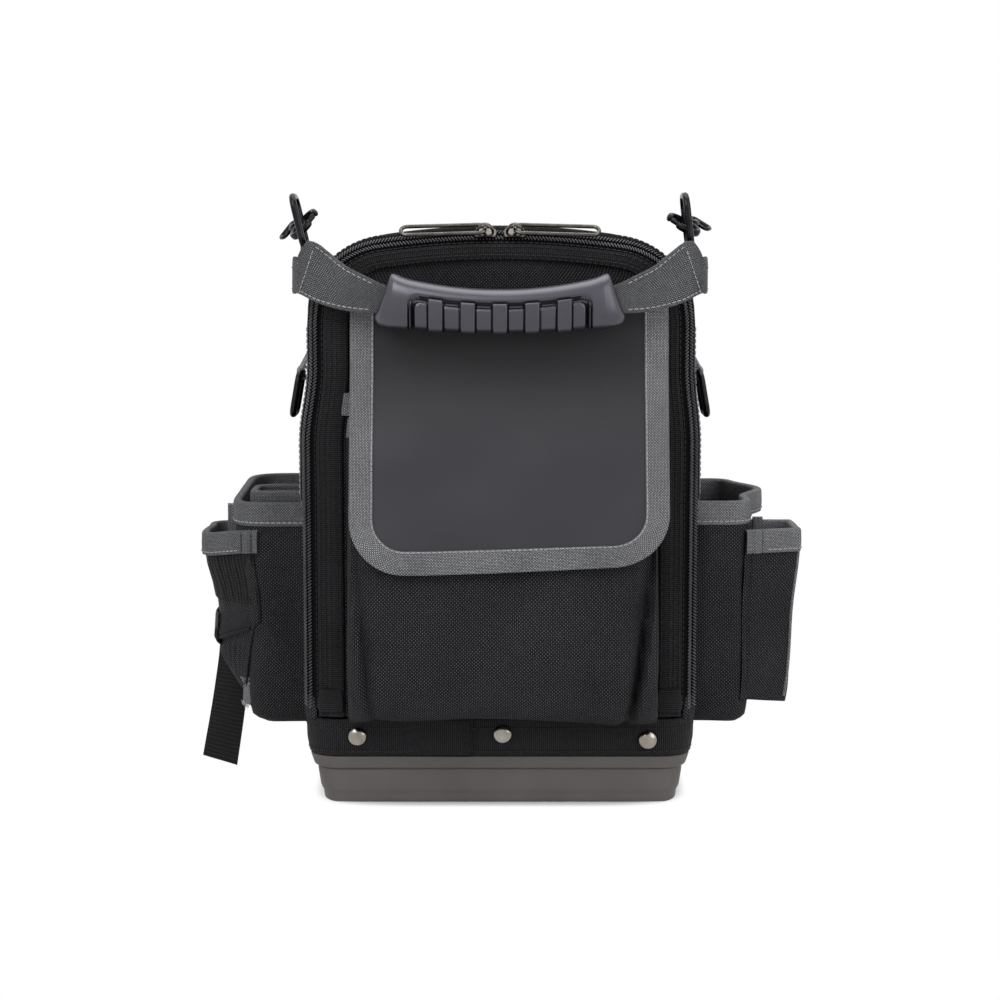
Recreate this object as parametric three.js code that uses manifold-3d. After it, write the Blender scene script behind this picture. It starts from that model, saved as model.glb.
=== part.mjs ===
// Upright zippered tool bag: a moulded base, a sewn arch-topped body, a fold-down front door with a
// flapped pocket, holster pockets on both sides, a webbing handle with a moulded grip, and its hardware.
// Millimetres, +Z up. X runs to the right, the front faces -Y, and the origin is on the ground under
// the middle of the base.

import * as THREE from "three";
import { mergeVertices } from "three/addons/utils/BufferGeometryUtils.js";
import Module from "manifold-3d";

const wasm = await Module();
wasm.setup();

// Driving dimensions

const gap = 0.3; // clearance between pieces that touch

const base = {
  halfWidth: 111, // over the lip
  halfDepth: 83,
  cornerRadius: 18,
  lipTop: 28,
  lipBottom: 18,
  lipStep: 5.8, // how far the lip stands out past the tub below it
  footInset: 3, // draft of the tub, from the lip down to the foot
  footRadius: 3, // rounding at the ground
  upstandHeight: 19, // hidden wall above the lip that the skirt is riveted to
  upstandInset: 2.4,
  wall: 2.6,
  floor: 4.4,
};

const skirt = { height: 20.8, thickness: 2.4, flare: 3 };

const rivet = {
  headRadius: 5.2,
  headHeight: 2.4,
  shankRadius: 1.8,
  tailRadius: 4,
  tailHeight: 1,
  aboveLip: 12,
  cornerInset: 26, // outer rivets, in from the ends of the lip
};

const body = {
  overhang: 4.5, // how far each side stands out past the base's lip
  height: 287.4, // from the skirt to the highest point of the arch
  cornerRadius: 67, // rounded shoulders of the arch
  crownRadius: 310, // gentle curve across the top
  frontSetback: 13, // open front edge, back from the base's lip
  backSetback: 3,
  wall: 4,
};

const boot = { wall: 2, overlap: 4 };
const board = { thickness: 3, clearance: 1 };
const backPad = { inset: 14, bottom: 62, bulk: 7.5 };
const toolPanel = { inset: 9, thickness: 3, bottom: 62 };
const tier = {
  halfWidth: 92,
  wall: 2,
  lower: { bottom: 62, height: 80, depth: 26, cells: 4 },
  upper: { bottom: 170, height: 66, depth: 18, cells: 5 },
};

const zip = {
  inset: 5, // chain centre, in from the outline
  aheadOfShell: 7.5, // chain centre, in front of the shell's open edge
  halfChain: 4.2,
  slope: 41, // degrees the chain leans back from the front face
  thickness: 2,
  rise: 6.4, // its lower end, above the skirt
};

const door = {
  inset: 9.5, // panel edge, in from the outline
  aheadOfShell: 14.2,
  thickness: 4,
  rise: 4.9,
  bandWidth: 15.5,
  bandThickness: 2,
};

const frontPocket = { leftInset: 27, rightInset: 25.5, rise: 4, wall: 2.2 };

const flap = {
  leftInset: 29,
  rightInset: 19,
  drop: 129, // from the fold to the lower edge
  cornerRadius: 28,
  thickness: 2,
  bindingWidth: 12.5,
  bindingThickness: 0.9,
  foldBelowTop: 69, // the line it folds on, just under the hanging grip
  rootHeight: 31,
  seamHalf: 70,
  seamHeight: 12,
  standOff: 1, // clear of the pocket it covers
  drapeDrop: 6, // it has fallen back as far as it goes this far below the fold
  drapeDepth: 7,
};

const handle = {
  pivotBehindEdge: 10, // where each end is tacked, behind the shell's open edge
  pivotBelowTop: 26,
  endRadius: 15,
  strapThickness: 2.4,
  gripHalf: 70,
  gripDepth: 24,
  boreClearance: 0.5,
  ribs: 11,
  ribFieldHalf: 52,
  grooveDepth: 1.5, // between the ribs
  ribProud: 0.6, // every second rib stands out, and those between lie sunk
  ribSunk: 0.5,
};

const anchor = { thickness: 1.5, width: 25, bottomBelowTop: 159, topBelowTop: 17 };
const ring = { wire: 2, halfWidth: 12, height: 30, corner: 7, sides: 8, sleeveHalf: 4, play: 0.6 };
const ringSeats = {
  left: { inFromSide: 2.6, belowTop: 12, lean: 13 },
  right: { inFromSide: 5.1, belowTop: 12, lean: 7 },
};
const sideRing = { wire: 2, halfWidth: 14, height: 25, corner: 6, sides: 8, belowTop: 87, y: -20, tilt: 10, tabHalf: 9 };
const webbing = { width: 25, thickness: 1.5 };
const pocketWall = 2.4;
const sleeveWall = 2;
const binding = { height: 14, thickness: 1.1 };

// Sizes that follow from them

const lipLine = base.lipTop;
const skirtTop = lipLine + gap + skirt.height;
const shellBottom = skirtTop + gap;
const topZ = shellBottom + body.height;
const halfWidth = base.halfWidth + body.overhang;
const shellFront = body.frontSetback - base.halfDepth;
const shellBack = base.halfDepth - body.backSetback;
const zipY = shellFront - zip.aheadOfShell;
const doorFront = shellFront - door.aheadOfShell;
const foldZ = topZ - flap.foldBelowTop;
const flapBottom = foldZ - flap.drop;
const flapLeft = flap.leftInset - halfWidth;
const flapRight = halfWidth - flap.rightInset;
const pivotY = shellFront + handle.pivotBehindEdge;
const pivotZ = topZ - handle.pivotBelowTop;
const strapX = halfWidth + gap + anchor.thickness + gap + handle.strapThickness / 2;

// Materials

const paint = (color, roughness, metalness = 0) =>
  new THREE.MeshStandardMaterial({ color, roughness, metalness });
const materials = {
  ballistic: paint(0x1c1c1e, 0.9),
  blackWebbing: paint(0x161618, 0.85),
  greyWebbing: paint(0x63686a, 0.85),
  coatedFabric: paint(0x2b2c31, 0.5),
  lining: paint(0x3a3d40, 0.9),
  moulded: paint(0x5d5f5e, 0.6),
  rubber: paint(0x2a2b2f, 0.6),
  blackMetal: paint(0x1a1a1c, 0.35, 0.8),
  nickel: paint(0xb9b6b0, 0.25, 1),
  coil: paint(0x141416, 0.5),
};

// Geometry helpers

const vec = (x, y, z) => new THREE.Vector3(x, y, z);
const radians = THREE.MathUtils.degToRad;
const mix = (a, b, t) => a + (b - a) * t;

// Triangles across a flat ring of points, wound the way the ring runs, or against it.
function capFaces(points, offset, forward) {
  const normal = vec(0, 0, 0);
  points.forEach((p, i) => normal.add(vec().copy(p).cross(points[(i + 1) % points.length])));
  const drop = ["x", "y", "z"].sort((a, b) => Math.abs(normal[b]) - Math.abs(normal[a]))[0];
  const kept = ["x", "y", "z"].filter((k) => k !== drop);
  const flat = points.map((p) => new THREE.Vector2(p[kept[0]], p[kept[1]]));
  const turn = Math.sign(THREE.ShapeUtils.area(flat));
  const faces = [];
  for (const [a, b, c] of THREE.ShapeUtils.triangulateShape(flat, [])) {
    const same = Math.sign(THREE.ShapeUtils.area([flat[a], flat[b], flat[c]])) === turn;
    const run = same === forward ? [a, b, c] : [a, c, b];
    faces.push(...run.map((k) => k + offset));
  }
  return faces;
}

// One closed surface over a row of rings that all have the same number of points.
function skin(rings, loop = false) {
  const count = rings[0].length;
  const spans = loop ? rings.length : rings.length - 1;
  const faces = [];
  for (let i = 0; i < spans; i++) {
    const here = i * count;
    const next = ((i + 1) % rings.length) * count;
    for (let j = 0; j < count; j++) {
      const k = (j + 1) % count;
      faces.push(here + j, next + j, next + k, here + j, next + k, here + k);
    }
  }
  if (!loop) {
    faces.push(...capFaces(rings[0], 0, true));
    faces.push(...capFaces(rings.at(-1), (rings.length - 1) * count, false));
  }
  const geometry = new THREE.BufferGeometry();
  const numbers = rings.flat().flatMap((p) => [p.x, p.y, p.z]);
  geometry.setAttribute("position", new THREE.Float32BufferAttribute(numbers, 3));
  geometry.setIndex(faces);
  return solid(geometry);
}

// A geometry as a solid that can be cut and joined, turned so that its faces point out.
function solid(geometry) {
  const plain = geometry.clone();
  plain.deleteAttribute("normal");
  plain.deleteAttribute("uv");
  const merged = mergeVertices(plain, 1e-4);
  const triVerts = new Uint32Array(merged.index.array);
  const vertProperties = merged.attributes.position.array;
  const make = () => new wasm.Manifold(new wasm.Mesh({ numProp: 3, vertProperties, triVerts }));
  const made = make();
  if (made.volume() >= 0) return made;
  for (let i = 0; i < triVerts.length; i += 3) {
    [triVerts[i + 1], triVerts[i + 2]] = [triVerts[i + 2], triVerts[i + 1]];
  }
  return make();
}

function geometryOf(made) {
  const mesh = made.getMesh();
  const geometry = new THREE.BufferGeometry();
  geometry.setAttribute("position", new THREE.BufferAttribute(mesh.vertProperties, 3));
  geometry.setIndex(new THREE.BufferAttribute(mesh.triVerts, 1));
  const drawn = geometry.toNonIndexed();
  drawn.computeVertexNormals();
  return drawn;
}

// Points of an arc in a plane, from one angle to another, in degrees.
function arc(centreA, centreB, radius, from, to, steps) {
  const points = [];
  for (let i = 0; i <= steps; i++) {
    const angle = radians(mix(from, to, i / steps));
    points.push([centreA + radius * Math.cos(angle), centreB + radius * Math.sin(angle)]);
  }
  return points;
}

// Front view of the bag at a distance in from its outside: up the left side, over the arch, down the
// right. Every inset gives the same number of points, so two insets pair up point by point.
function archOutline(inset, bottom, cornerSteps = 8, crownSteps = 8) {
  const lean = Math.asin((halfWidth - body.cornerRadius) / (body.crownRadius - body.cornerRadius));
  const crownZ = topZ - body.crownRadius;
  const cornerX = halfWidth - body.cornerRadius;
  const cornerZ = crownZ + (body.crownRadius - body.cornerRadius) * Math.cos(lean);
  const leanDegrees = THREE.MathUtils.radToDeg(lean);
  const radius = body.cornerRadius - inset;
  const left = arc(-cornerX, cornerZ, radius, 180, 90 + leanDegrees, cornerSteps);
  const from = 90 + leanDegrees;
  const to = 90 - leanDegrees;
  const crown = arc(0, crownZ, body.crownRadius - inset, from, to, crownSteps).slice(1, -1);
  const right = arc(cornerX, cornerZ, radius, 90 - leanDegrees, 0, cornerSteps);
  return [[inset - halfWidth, bottom], ...left, ...crown, ...right, [halfWidth - inset, bottom]];
}

// A plate with a front-view outline, from one depth to another.
function plate(outline, fromY, toY) {
  return skin([fromY, toY].map((y) => outline.map(([x, z]) => vec(x, y, z))));
}

// A strip that follows the arch, with a section of [inset, y] points.
function archStrip(section, bottom, cornerSteps, crownSteps) {
  const outlines = section.map(([inset]) => archOutline(inset, bottom, cornerSteps, crownSteps));
  return skin(outlines[0].map((_, i) => section.map(([, y], k) => vec(outlines[k][i][0], y, outlines[k][i][1]))));
}

// Plan view of a rounded rectangle at a height.
function roundedRing(halfX, halfY, radius, z, steps = 5) {
  const x = halfX - radius;
  const y = halfY - radius;
  return [
    ...arc(x, y, radius, 0, 90, steps),
    ...arc(-x, y, radius, 90, 180, steps),
    ...arc(-x, -y, radius, 180, 270, steps),
    ...arc(x, -y, radius, 270, 360, steps),
  ].map(([a, b]) => vec(a, b, z));
}

// A stack of rounded rectangles, each given as how far it lies inside the base's lip, and its height.
function baseStack(levels) {
  return skin(
    levels.map(([inset, z]) =>
      roundedRing(base.halfWidth - inset, base.halfDepth - inset, base.cornerRadius - inset, z),
    ),
  );
}

// A round bar along a path of points. The section keeps one side towards "up".
function bar(points, radius, sides, loop = false) {
  const last = points.length - 1;
  const rings = points.map((p, i) => {
    const before = points[loop ? (i + last) % points.length : Math.max(i - 1, 0)];
    const after = points[loop ? (i + 1) % points.length : Math.min(i + 1, last)];
    const along = after.clone().sub(before).normalize();
    const side = Math.abs(along.x) > 0.9 ? vec(0, 1, 0) : vec(1, 0, 0);
    const a = side.clone().cross(along).normalize();
    const b = along.clone().cross(a);
    return Array.from({ length: sides }, (_, k) => {
      const turn = (2 * Math.PI * k) / sides;
      const out = a.clone().multiplyScalar(radius * Math.cos(turn));
      return p.clone().add(out).add(b.clone().multiplyScalar(radius * Math.sin(turn)));
    });
  });
  return skin(rings, loop);
}

// A round rod from one point to another, along any axis.
function rod(from, to, radius, sides = 16) {
  return bar([from, to], radius, sides);
}

function block(x0, x1, y0, y1, z0, z1) {
  const box = new THREE.BoxGeometry(x1 - x0, y1 - y0, z1 - z0);
  return solid(box.translate((x0 + x1) / 2, (y0 + y1) / 2, (z0 + z1) / 2));
}

// Half a rounded rectangle that stands on a wall: along the wall from a0 to a1, and out to a depth.
function bulge(a0, a1, depth, radius, steps = 5) {
  const r = Math.min(radius, depth, (a1 - a0) / 2);
  return [
    [a0, 0],
    ...arc(a0 + r, depth - r, r, 180, 90, steps),
    ...arc(a1 - r, depth - r, r, 90, 0, steps),
    [a1, 0],
  ];
}

// A pocket on a wall: a lofted bulge with its back and its top open. Each level is
// { z, a0, a1, depth, radius }, from the bottom up, and place turns [a, b, z] into a point.
function pocketShell(levels, wall, place) {
  const ring = (l, n, sunk) =>
    bulge(l.a0 + n, l.a1 - n, l.depth - n, Math.max(l.radius - n, 1)).map(([a, b]) =>
      place(a, b === 0 ? -sunk : b, l.z),
    );
  const outer = skin(levels.map((l) => ring(l, 0, 0)));
  const rim = levels.at(-1);
  const hollow = [{ ...levels[0], z: levels[0].z + wall }, ...levels.slice(1), { ...rim, z: rim.z + 5 }];
  return outer.subtract(skin(hollow.map((l) => ring(l, wall, 5))));
}

// A folded tape over a pocket's rim, clear of the wall that it covers.
function rimBinding(rim, wall, place) {
  const outer = gap + binding.thickness;
  const inner = -wall - outer;
  const section = [
    [outer, -binding.height],
    [outer, outer],
    [inner, outer],
    [inner, -binding.height],
    [inner + binding.thickness, -binding.height],
    [inner + binding.thickness, gap],
    [gap, gap],
    [gap, -binding.height],
  ];
  const paths = section.map(([n]) => bulge(rim.a0 - n, rim.a1 + n, rim.depth + n, Math.max(rim.radius + n, 0.5)));
  return skin(
    paths[0].map((_, i) => section.map(([, h], k) => place(paths[k][i][0], paths[k][i][1], rim.z + h))),
  );
}

// Assembly helpers

const bag = new THREE.Group();

function add(parent, name, made, material) {
  const mesh = new THREE.Mesh(made.isBufferGeometry ? made : geometryOf(made), material);
  mesh.name = name;
  parent.add(mesh);
  return mesh;
}

// Base

const upstandTop = lipLine + base.upstandHeight;

function buildBase() {
  const step = base.lipStep;
  const foot = step + base.footInset;
  const outside = baseStack([
    [foot + base.footRadius, 0],
    [foot + base.footRadius * 0.3, base.footRadius * 0.3],
    [foot, base.footRadius],
    [step, base.lipBottom],
    [1.6, base.lipBottom + 0.8],
    [0.5, base.lipBottom + 2.4],
    [0, base.lipTop - 1],
    [0.6, base.lipTop],
    [base.upstandInset, base.lipTop + 0.1],
    [base.upstandInset, upstandTop],
  ]);
  const w = base.wall;
  const inside = baseStack([
    [foot + w, base.floor],
    [step + w, base.lipBottom + w],
    [base.upstandInset + w, base.lipBottom + w + 1],
    [base.upstandInset + w, upstandTop + 5],
  ]);
  return outside.subtract(inside);
}

// The webbing band round the base, a little wider at its top, where it meets the sewn body.
function buildSkirt() {
  const inner = base.upstandInset - gap;
  const outer = inner - skirt.thickness;
  const bottom = lipLine + 0.1 + gap;
  const outside = baseStack([
    [outer, bottom],
    [outer - skirt.flare * 0.75, mix(bottom, skirtTop, 0.4)],
    [outer - skirt.flare, skirtTop],
  ]);
  return outside.subtract(
    baseStack([
      [inner, bottom - 5],
      [inner, skirtTop + 5],
    ]),
  );
}

// Where the rivets go: a name, the point on the lip line, and the turn that points its head outwards.
function rivetSpots() {
  const spots = [];
  for (const [side, sign] of [["front", -1], ["back", 1]]) {
    const spread = base.halfWidth - rivet.cornerInset;
    for (const [place, x] of [["left", -spread], ["middle", 0], ["right", spread]]) {
      spots.push({ name: `rivet_${side}_${place}`, x, y: sign * base.halfDepth, turn: sign < 0 ? 0 : 180 });
    }
  }
  return spots;
}

// A domed rivet, pointing along -Y, through skirt, base and boot. Its origin is on the base's lip line.
function buildRivet() {
  const face = -(skirt.thickness + skirt.flare - base.upstandInset + gap) - gap;
  const inside = base.upstandInset + base.wall + gap + boot.wall + gap;
  const head = [
    [0, face - rivet.headHeight],
    [rivet.headRadius * 0.5, face - rivet.headHeight * 0.86],
    [rivet.headRadius * 0.87, face - rivet.headHeight * 0.5],
    [rivet.headRadius, face - 0.4],
    [rivet.headRadius, face],
    [rivet.shankRadius, face],
    [rivet.shankRadius, inside],
    [rivet.tailRadius, inside],
    [rivet.tailRadius, inside + rivet.tailHeight],
    [0, inside + rivet.tailHeight],
  ];
  return new THREE.LatheGeometry(head.map(([r, y]) => new THREE.Vector2(r, y)), 12);
}

function rivetHole(spot) {
  const hole = new THREE.CylinderGeometry(rivet.shankRadius + gap, rivet.shankRadius + gap, 40, 12);
  return solid(hole.translate(spot.x, spot.y, lipLine + rivet.aboveLip));
}

const drilled = (made) => rivetSpots().reduce((left, spot) => left.subtract(rivetHole(spot)), made);

// Sewn body

const bootBandInset = base.upstandInset + base.wall + gap;

function buildShell() {
  const arch = plate(archOutline(0, shellBottom), shellFront, shellBack);
  const room = plate(archOutline(body.wall, shellBottom + boot.overlap), shellFront - 5, shellBack - body.wall);
  const band = baseStack([
    [bootBandInset - gap, shellBottom - 5],
    [bootBandInset - gap, shellBottom + boot.overlap + 0.2],
  ]);
  return arch.subtract(room).subtract(band);
}

// The boot lines the base: a tray in the foot, and a band behind the upstand that the rivets go through.
function buildBootTray() {
  const step = base.lipStep + base.wall + gap;
  const foot = step + base.footInset;
  const floorZ = base.floor + gap;
  const top = base.lipBottom + base.wall;
  const outside = baseStack([
    [foot, floorZ],
    [step, top],
  ]);
  return outside.subtract(
    baseStack([
      [foot + boot.wall, floorZ + boot.wall],
      [step + boot.wall, top],
      [step + boot.wall, top + 5],
    ]),
  );
}

function buildBootBand() {
  const bottom = base.lipBottom + base.wall + 1 + gap;
  const top = shellBottom + boot.overlap - gap;
  const outside = baseStack([
    [bootBandInset, bottom],
    [bootBandInset, top],
  ]);
  const inner = bootBandInset + boot.wall;
  return outside.subtract(
    baseStack([
      [inner, bottom - 5],
      [inner, top + 5],
    ]),
  );
}

// A stiff board on the boot's floor.
function buildBoard() {
  const inset = base.lipStep + base.wall + gap + base.footInset + boot.wall + board.clearance;
  const z = base.floor + gap + boot.wall + gap;
  return baseStack([
    [inset, z],
    [inset, z + board.thickness],
  ]);
}

// The padded panel sewn on the back, thick in its middle and thin at its seam.
function buildBackPanel() {
  const { inset, bottom, bulk } = backPad;
  const level = (n, out) => archOutline(inset + n, bottom + n).map(([x, z]) => vec(x, shellBack + gap + out, z));
  return skin([level(0, 0), level(1, bulk * 0.27), level(6, bulk * 0.73), level(18, bulk)]);
}

// Inside: a stiff panel on the back wall with two rows of tool pockets.
function buildToolPanel() {
  const y = shellBack - body.wall - gap;
  return plate(archOutline(body.wall + toolPanel.inset, toolPanel.bottom), y - toolPanel.thickness, y);
}

// A row of open-topped pockets side by side.
function buildTier({ bottom, height, depth, cells }) {
  const half = tier.halfWidth;
  const wall = tier.wall;
  const back = shellBack - body.wall - gap - toolPanel.thickness - gap;
  const front = back - depth;
  const pitch = (2 * half - wall) / cells;
  let made = block(-half, half, front, back, bottom, bottom + height);
  for (let i = 0; i < cells; i++) {
    const x = -half + wall + i * pitch;
    made = made.subtract(block(x, x + pitch - wall, front + wall, back - wall, bottom + wall, bottom + height + 5));
  }
  return made;
}

// Zip

// The chain leans between the side and the front, half on the shell and half on the door.
function zipSection(side) {
  const along = [-Math.sin(radians(zip.slope)), Math.cos(radians(zip.slope))];
  const across = [Math.cos(radians(zip.slope)) * zip.thickness, Math.sin(radians(zip.slope)) * zip.thickness];
  const reach = (t) => [zip.inset + along[0] * t * side, zipY + along[1] * t * side];
  const near = reach(gap / 2);
  const far = reach(zip.halfChain);
  const inward = ([n, y]) => [n + across[0], y + across[1]];
  const shellEdge = [[0.4, shellFront - gap], [0.4 + zip.thickness, shellFront - gap]];
  const edge = door.inset - gap;
  const doorEdge = [[edge, doorFront + 0.4], [edge, doorFront + 0.6 + zip.thickness]];
  return [near, far, ...(side > 0 ? shellEdge : doorEdge), inward(far), inward(near)];
}

const buildZipHalf = (side) => archStrip(zipSection(side), shellBottom + zip.rise, 8, 8);

// Door

const buildDoorPanel = () =>
  plate(archOutline(door.inset, shellBottom + door.rise), doorFront, doorFront + door.thickness);

function buildDoorBand() {
  const y = doorFront - gap;
  const inner = door.inset + door.bandWidth;
  const section = [
    [door.inset, y],
    [door.inset, y - door.bandThickness + 0.6],
    [door.inset + 2, y - door.bandThickness],
    [inner - 1, y - door.bandThickness],
    [inner, y - door.bandThickness + 0.6],
    [inner, y],
  ];
  return archStrip(section, shellBottom + door.rise, 8, 6);
}

// How far a lofted pocket stands out at a height, between its levels.
function depthAt(levels, z) {
  const above = levels.findIndex((l) => l.z >= z);
  if (above < 1) return levels.at(above < 0 ? -1 : 0).depth;
  const low = levels[above - 1];
  const high = levels[above];
  return mix(low.depth, high.depth, (z - low.z) / (high.z - low.z));
}

// The front pocket's bellows: its height above its lower edge, how far it stands out there, and how far
// its sides are drawn in.
const bellows = [
  [0, 17, 3],
  [5, 27, 3],
  [17, 34, 3],
  [39, 37, 2],
  [87, 34, 0],
  [147, 22.5, 0],
  [174, 15.5, 0],
].map(([rise, depth, drawn]) => ({
  z: shellBottom + frontPocket.rise + rise,
  a0: frontPocket.leftInset - halfWidth + drawn,
  a1: halfWidth - frontPocket.rightInset - drawn,
  depth,
  radius: Math.min(depth * 0.5, 12),
}));

// The flap drapes over the bellows and, above the pocket's rim, falls back towards the door.
const drape = [...bellows, { z: foldZ - flap.drapeDrop, depth: flap.drapeDepth }];

const buildFrontPocket = () =>
  pocketShell(bellows, frontPocket.wall, (a, b, z) => vec(a, doorFront - gap - b, z));

// Flap

const flapBuild = flap.thickness + 2 * (flap.bindingThickness + gap);

// The flap's front face lies over the pocket, and over the door's band where the pocket ends.
function flapFront(z) {
  const pocket = depthAt(drape, z) + flap.standOff;
  const band = door.bandThickness + gap;
  return doorFront - gap - Math.max(pocket, band) - flapBuild;
}

// The flap's edge at a distance in from its outside: down the left, round the bottom, up the right.
function flapOutline(inset, top, cornerSteps = 7) {
  const r = flap.cornerRadius - inset;
  const left = flapLeft + flap.cornerRadius;
  const right = flapRight - flap.cornerRadius;
  const low = flapBottom + flap.cornerRadius;
  const rows = [top, mix(top, low, 0.28), mix(top, low, 0.67)];
  return [
    ...rows.map((z) => [flapLeft + inset, z]),
    ...arc(left, low, r, 180, 270, cornerSteps),
    ...arc(right, low, r, 270, 360, cornerSteps),
    ...rows.toReversed().map((z) => [flapRight - inset, z]),
  ];
}

// Front and back of the panel as one ring at each height, from the fold down round the corners.
function buildFlapPanel() {
  const outline = flapOutline(flap.bindingThickness + gap, foldZ - gap);
  const rows = outline.slice(0, outline.length / 2);
  const mirror = outline.slice(outline.length / 2).toReversed();
  return skin(
    rows.map(([x, z], i) => {
      const y = flapFront(z) + flap.bindingThickness + gap;
      return [vec(x, y, z), vec(mirror[i][0], y, z), vec(mirror[i][0], y + flap.thickness, z), vec(x, y + flap.thickness, z)];
    }),
  );
}

// The webbing folded round the flap's edge, clear of the panel inside it.
function buildFlapBinding() {
  const t = flap.bindingThickness;
  const w = flap.bindingWidth;
  const deep = flapBuild;
  const section = [
    [0, 0],
    [w, 0],
    [w, t],
    [t, t],
    [t, deep - t],
    [w, deep - t],
    [w, deep],
    [0, deep],
  ];
  const paths = section.map(([inset]) => flapOutline(inset, foldZ - gap));
  return skin(
    paths[0].map((_, i) =>
      section.map(([, depth], k) => vec(paths[k][i][0], flapFront(paths[k][i][1]) + depth, paths[k][i][1])),
    ),
  );
}

// The sewn root of the flap, above the fold, with the seam that holds it to the door.
function buildFlapRoot() {
  const face = flapFront(foldZ);
  const back = face + flapBuild;
  const top = foldZ + flap.rootHeight;
  const sheet = block(flapLeft, flapRight, face, back, foldZ + gap, top);
  const seam = block(-flap.seamHalf, flap.seamHalf, back - 0.1, doorFront - gap, top - flap.seamHeight, top);
  return sheet.add(seam);
}

// Handle

// The right half of the strap's middle line, from its tacked end to the middle of the grip: in from its
// widest plane, or out from the middle, then how far in front of the pivot, and its lower and upper
// edges from the pivot's height.
const strapSide = [
  [0, 9.5, -15.5, 16],
  [0.5, 19, -15, 16],
  [3.8, 28, -15, 14],
  [11.5, 36.5, -19, 10],
  [21.5, 42.8, -22.5, 5],
  [32.5, 47.5, -24.5, 1],
  [42.5, 50.5, -25.5, -2],
];
const strapMiddle = [
  [64, 53, -23.5, -7.5],
  [44, 56.5, -27, -11],
  [22, 58.6, -29, -13],
  [0, 59.3, -29.5, -13.5],
];

// The whole strap, left end to right end, as stations with the way that the strap faces.
function strapLine() {
  const station = (x, ahead, low, high) => ({ x, y: pivotY - ahead, low: pivotZ + low, high: pivotZ + high });
  const end = [12, 35, 62, 90].map((degrees) => {
    const half = handle.endRadius * Math.sin(radians(degrees));
    return station(strapX, -handle.endRadius * Math.cos(radians(degrees)), -half, half);
  });
  const right = [
    ...end,
    ...strapSide.map(([inset, ...rest]) => station(strapX - inset, ...rest)),
    ...strapMiddle.map((s) => station(...s)),
  ];
  const left = right.slice(0, -1).map((s) => ({ ...s, x: -s.x }));
  const line = [...left, ...right.toReversed()];
  return line.map((s, i) => {
    const before = line[Math.max(i - 1, 0)];
    const after = line[Math.min(i + 1, line.length - 1)];
    const along = new THREE.Vector2(after.x - before.x, after.y - before.y).normalize();
    return { ...s, outX: along.y, outY: -along.x };
  });
}

function strapBand(thickness, grow, stations) {
  const t = thickness / 2;
  return skin(
    stations.map((s) =>
      [[-t, s.low - grow], [t, s.low - grow], [t, s.high + grow], [-t, s.high + grow]].map(([n, z]) =>
        vec(s.x + s.outX * n, s.y + s.outY * n, z),
      ),
    ),
  );
}

const buildStrap = () => strapBand(handle.strapThickness, 0, strapLine());

// The webbing sewn up the side of the bag. The handle is tacked to its outer face, and its narrow top
// is rolled into a sleeve that the corner ring turns in.
function buildAnchor(side, seat) {
  const inner = halfWidth + gap;
  const outer = inner + anchor.thickness;
  const slab = (a, b, ...rest) => block(Math.min(side * a, side * b), Math.max(side * a, side * b), ...rest);
  const front = shellFront + 1;
  const plateTop = topZ - anchor.topBelowTop;
  const strip = slab(inner, outer, front, front + anchor.width, topZ - anchor.bottomBelowTop, plateTop);
  const reach = ring.wire + ring.play + anchor.thickness;
  const y0 = pivotY - ring.sleeveHalf;
  const y1 = pivotY + ring.sleeveHalf;
  const fold = seat.z - ring.wire - ring.play;
  const neck = slab(inner, outer, y0, y1, plateTop - 1, fold);
  const bridge = slab(Math.abs(seat.x), outer, y0, y1, fold - anchor.thickness, fold);
  return rod(vec(seat.x, y0, seat.z), vec(seat.x, y1, seat.z), reach, 12)
    .add(strip)
    .add(neck)
    .add(bridge)
    .subtract(rod(vec(seat.x, y0 - 9, seat.z), vec(seat.x, y1 + 9, seat.z), ring.wire + ring.play, 12));
}

// The moulded grip: a soft D section round the strap, drooping in its middle, with a field of finger
// ribs cut into its lower front.
function buildGrip() {
  const half = handle.gripHalf;
  const field = handle.ribFieldHalf;
  const deep = handle.gripDepth / 2;
  const soft = (v) => Math.sign(v) * Math.abs(v) ** 0.7;
  const section = (x, shrink, cut) => {
    const t = (x / half) ** 2;
    const y = pivotY - mix(59.3, 52.2, t);
    const low = pivotZ - mix(33.8, 29.8, t);
    const high = pivotZ + mix(-8.5, 2, t);
    const tall = (high - low) / 2;
    return Array.from({ length: 16 }, (_, k) => {
      const turn = (2 * Math.PI * k) / 16;
      const ribbed = Math.sin(turn) < 0.4 && Math.cos(turn) > -0.5;
      const out = -shrink - (ribbed ? cut : 0);
      const forward = (deep + out) * soft(Math.cos(turn));
      return vec(x, y - forward, (low + high) / 2 + (tall + out) * soft(Math.sin(turn)));
    });
  };
  const rings = [section(-half, 3.5, 0), section(-half + 1.5, 1, 0), section(-half + 4, 0, 0), section(-field - 1, 0, 0)];
  const pitch = (2 * field) / handle.ribs;
  const groove = 0.6;
  for (let i = 0; i < handle.ribs; i++) {
    const from = -field + i * pitch;
    const cut = i % 2 ? -handle.ribProud : handle.ribSunk;
    rings.push(section(from, 0, handle.grooveDepth), section(from + groove, 0, handle.grooveDepth));
    rings.push(section(from + groove + 0.4, 0, cut), section(from + pitch - 0.4, 0, cut));
  }
  rings.push(section(field, 0, handle.grooveDepth), section(field + 1, 0, 0));
  rings.push(section(half - 4, 0, 0), section(half - 1.5, 1, 0), section(half, 3.5, 0));
  const within = strapLine().filter((s) => Math.abs(s.x) < half + 20);
  const slot = strapBand(handle.strapThickness + 2 * handle.boreClearance, handle.boreClearance, within);
  return skin(rings).subtract(slot);
}

// Corner rings and snap hooks

// Where the lower bar of a corner ring lies.
function ringSeat(side, label) {
  const { inFromSide, belowTop, lean } = ringSeats[label];
  return { x: side * (halfWidth - inFromSide), z: topZ - belowTop, lean };
}

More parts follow.
